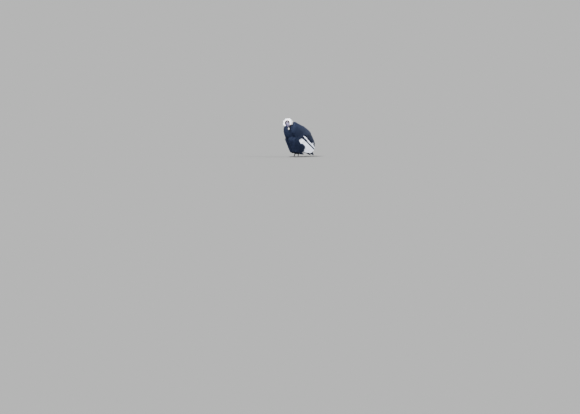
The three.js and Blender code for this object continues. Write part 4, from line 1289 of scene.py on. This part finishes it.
def add_tufts(name, roots, normals, material, seed):
    """Tufts of down: from each root a few fine strands that lean over, spread and curl."""
    draw = np.random.default_rng(seed)
    away = (roots - ruff_middle) / MM
    outward = unit((away @ ruff_level)[:, None] * ruff_level + (away @ ruff_up)[:, None] * ruff_up)
    drift = np.stack([ripple(roots, 24, 90 + k) for k in (0, 1, 2)], axis=1)
    flow = unit(drift - normals * (drift * normals).sum(axis=1)[:, None])
    tuft = normals * 0.45 + outward * 0.20 + flow * 0.80 + draw.normal(size=(len(roots), 3)) * 0.22
    swirl = draw.normal(size=(len(roots), 3))
    shared = (roots, normals, unit(tuft), swirl)
    roots, normals, tuft, swirl = (np.repeat(values, RUFF_STRANDS, axis=0) for values in shared)
    count = len(roots)
    lie = unit(tuft + draw.normal(size=(count, 3)) * 0.36)
    curl = swirl * 0.45 + draw.normal(size=(count, 3)) * 0.50 - normals * 0.75
    long = draw.uniform(0.0035, 0.0085, count)[:, None]
    sideways = unit(np.cross(lie, draw.normal(size=(count, 3))))
    third = np.cross(lie, sideways)
    share = np.array((0, 0.38, 0.72, 1.0))
    wide = (draw.uniform(0.00017, 0.00030, count)[:, None] * (1 - 0.70 * share**2))[..., None]
    centre = (roots - normals * 0.0006)[:, None] + lie[:, None] * (long * share)[..., None]
    centre = centre + curl[:, None] * (long * 0.50 * share**2)[..., None]
    spokes = [sideways * math.cos(turn) + third * math.sin(turn) for turn in (0.0, 2.1, 4.2)]
    ring = np.stack([centre + spoke[:, None] * wide for spoke in spokes], axis=2)
    # depth paints shade, greyer towards each strand's root
    marks = {"depth": np.broadcast_to((1 - share)[:, None] * 0.6, ring.shape[:3])}
    vane_piece(name, ring, np.array((0.9, -0.5, -0.5)), roots, marks, material, "white_down")


# Camera, floor and light


def direction(azimuth, elevation):
    level = Vector((math.sin(azimuth), -math.cos(azimuth), 0))
    return level * math.cos(elevation) + Vector((0, 0, math.sin(elevation)))


def add_camera():
    distance = IMAGE_WIDTH * METRES_PER_PIXEL * LENS / SENSOR
    outward = direction(AZIMUTH, ELEVATION)
    right = Vector((0, 0, 1)).cross(outward).normalized()
    upward = outward.cross(right)
    across = (ORIGIN_PIXEL[0] - IMAGE_WIDTH / 2) * METRES_PER_PIXEL
    above = (IMAGE_HEIGHT / 2 - ORIGIN_PIXEL[1]) * METRES_PER_PIXEL
    place = outward * distance - right * across - upward * above
    bpy.ops.object.camera_add(location=place, rotation=outward.to_track_quat("Z", "Y").to_euler())
    camera = bpy.context.object
    camera.data.lens = LENS
    camera.data.sensor_width = SENSOR
    camera.data.clip_end = 3 * distance
    bpy.context.scene.camera = camera


def add_floor():
    bpy.ops.mesh.primitive_plane_add(size=FLOOR_SIZE, location=(0, 0, 0))
    floor = bpy.context.object
    floor.name = "floor"
    nodes = Nodes("pale_floor")
    nodes.set(Base_Color=FLOOR_COLOUR, Roughness=1.0, Specular_IOR_Level=0.0)
    floor.data.materials.append(nodes.material)
    floor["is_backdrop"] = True


def add_sun(name, azimuth, elevation, strength, softness):
    towards = direction(azimuth, elevation)
    turn = towards.to_track_quat("Z", "Y").to_euler()
    bpy.ops.object.light_add(type="SUN", location=towards * 3, rotation=turn)
    sun = bpy.context.object
    sun.name = name
    sun.data.energy = strength
    sun.data.angle = softness


def light_world():
    """Even light from all round, with the lit floor's colour where the camera sees past the floor."""
    world = bpy.data.worlds.new("studio")
    world.use_nodes = True
    bpy.context.scene.world = world
    tree = world.node_tree
    light = tree.nodes["Background"]
    light.inputs["Color"].default_value = WORLD_COLOUR
    light.inputs["Strength"].default_value = WORLD_STRENGTH
    suns = KEY_STRENGTH * math.sin(KEY_HEIGHT) + FILL_STRENGTH * math.sin(FILL_HEIGHT)
    distance = tree.nodes.new("ShaderNodeBackground")
    distance.inputs["Color"].default_value = FLOOR_COLOUR
    distance.inputs["Strength"].default_value = WORLD_STRENGTH + suns / math.pi
    seen = tree.nodes.new("ShaderNodeLightPath").outputs["Is Camera Ray"]
    both = tree.nodes.new("ShaderNodeMixShader")
    for index, source in enumerate((seen, light.outputs[0], distance.outputs[0])):
        tree.links.new(source, both.inputs[index])
    tree.links.new(both.outputs[0], tree.nodes["World Output"].inputs["Surface"])


# The whole bird

skin = add_skin(skin_material())
skin_tree = tree_of(skin)
skin_chart = face_charts(skin)
add_bills(bill_material())
add_eyes(eye_material())
add_claws(claw_material())
large_vanes = feather_material("large_vanes", 1500.0, 0.52)
for side, sign in SIDES:
    add_wing(side, sign, large_vanes)
add_tail(large_vanes)
add_body_feathers(feather_material("small_vanes", 380.0, 0.62))
add_ruff(down_material())

add_camera()
add_floor()
light_world()
add_sun("key", AZIMUTH - math.radians(35), KEY_HEIGHT, KEY_STRENGTH, math.radians(14))
add_sun("fill", AZIMUTH + math.radians(80), FILL_HEIGHT, FILL_STRENGTH, math.radians(30))

for box in (cad_box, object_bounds()):
    json.dumps([list(corner) for corner in box]) + "\n"
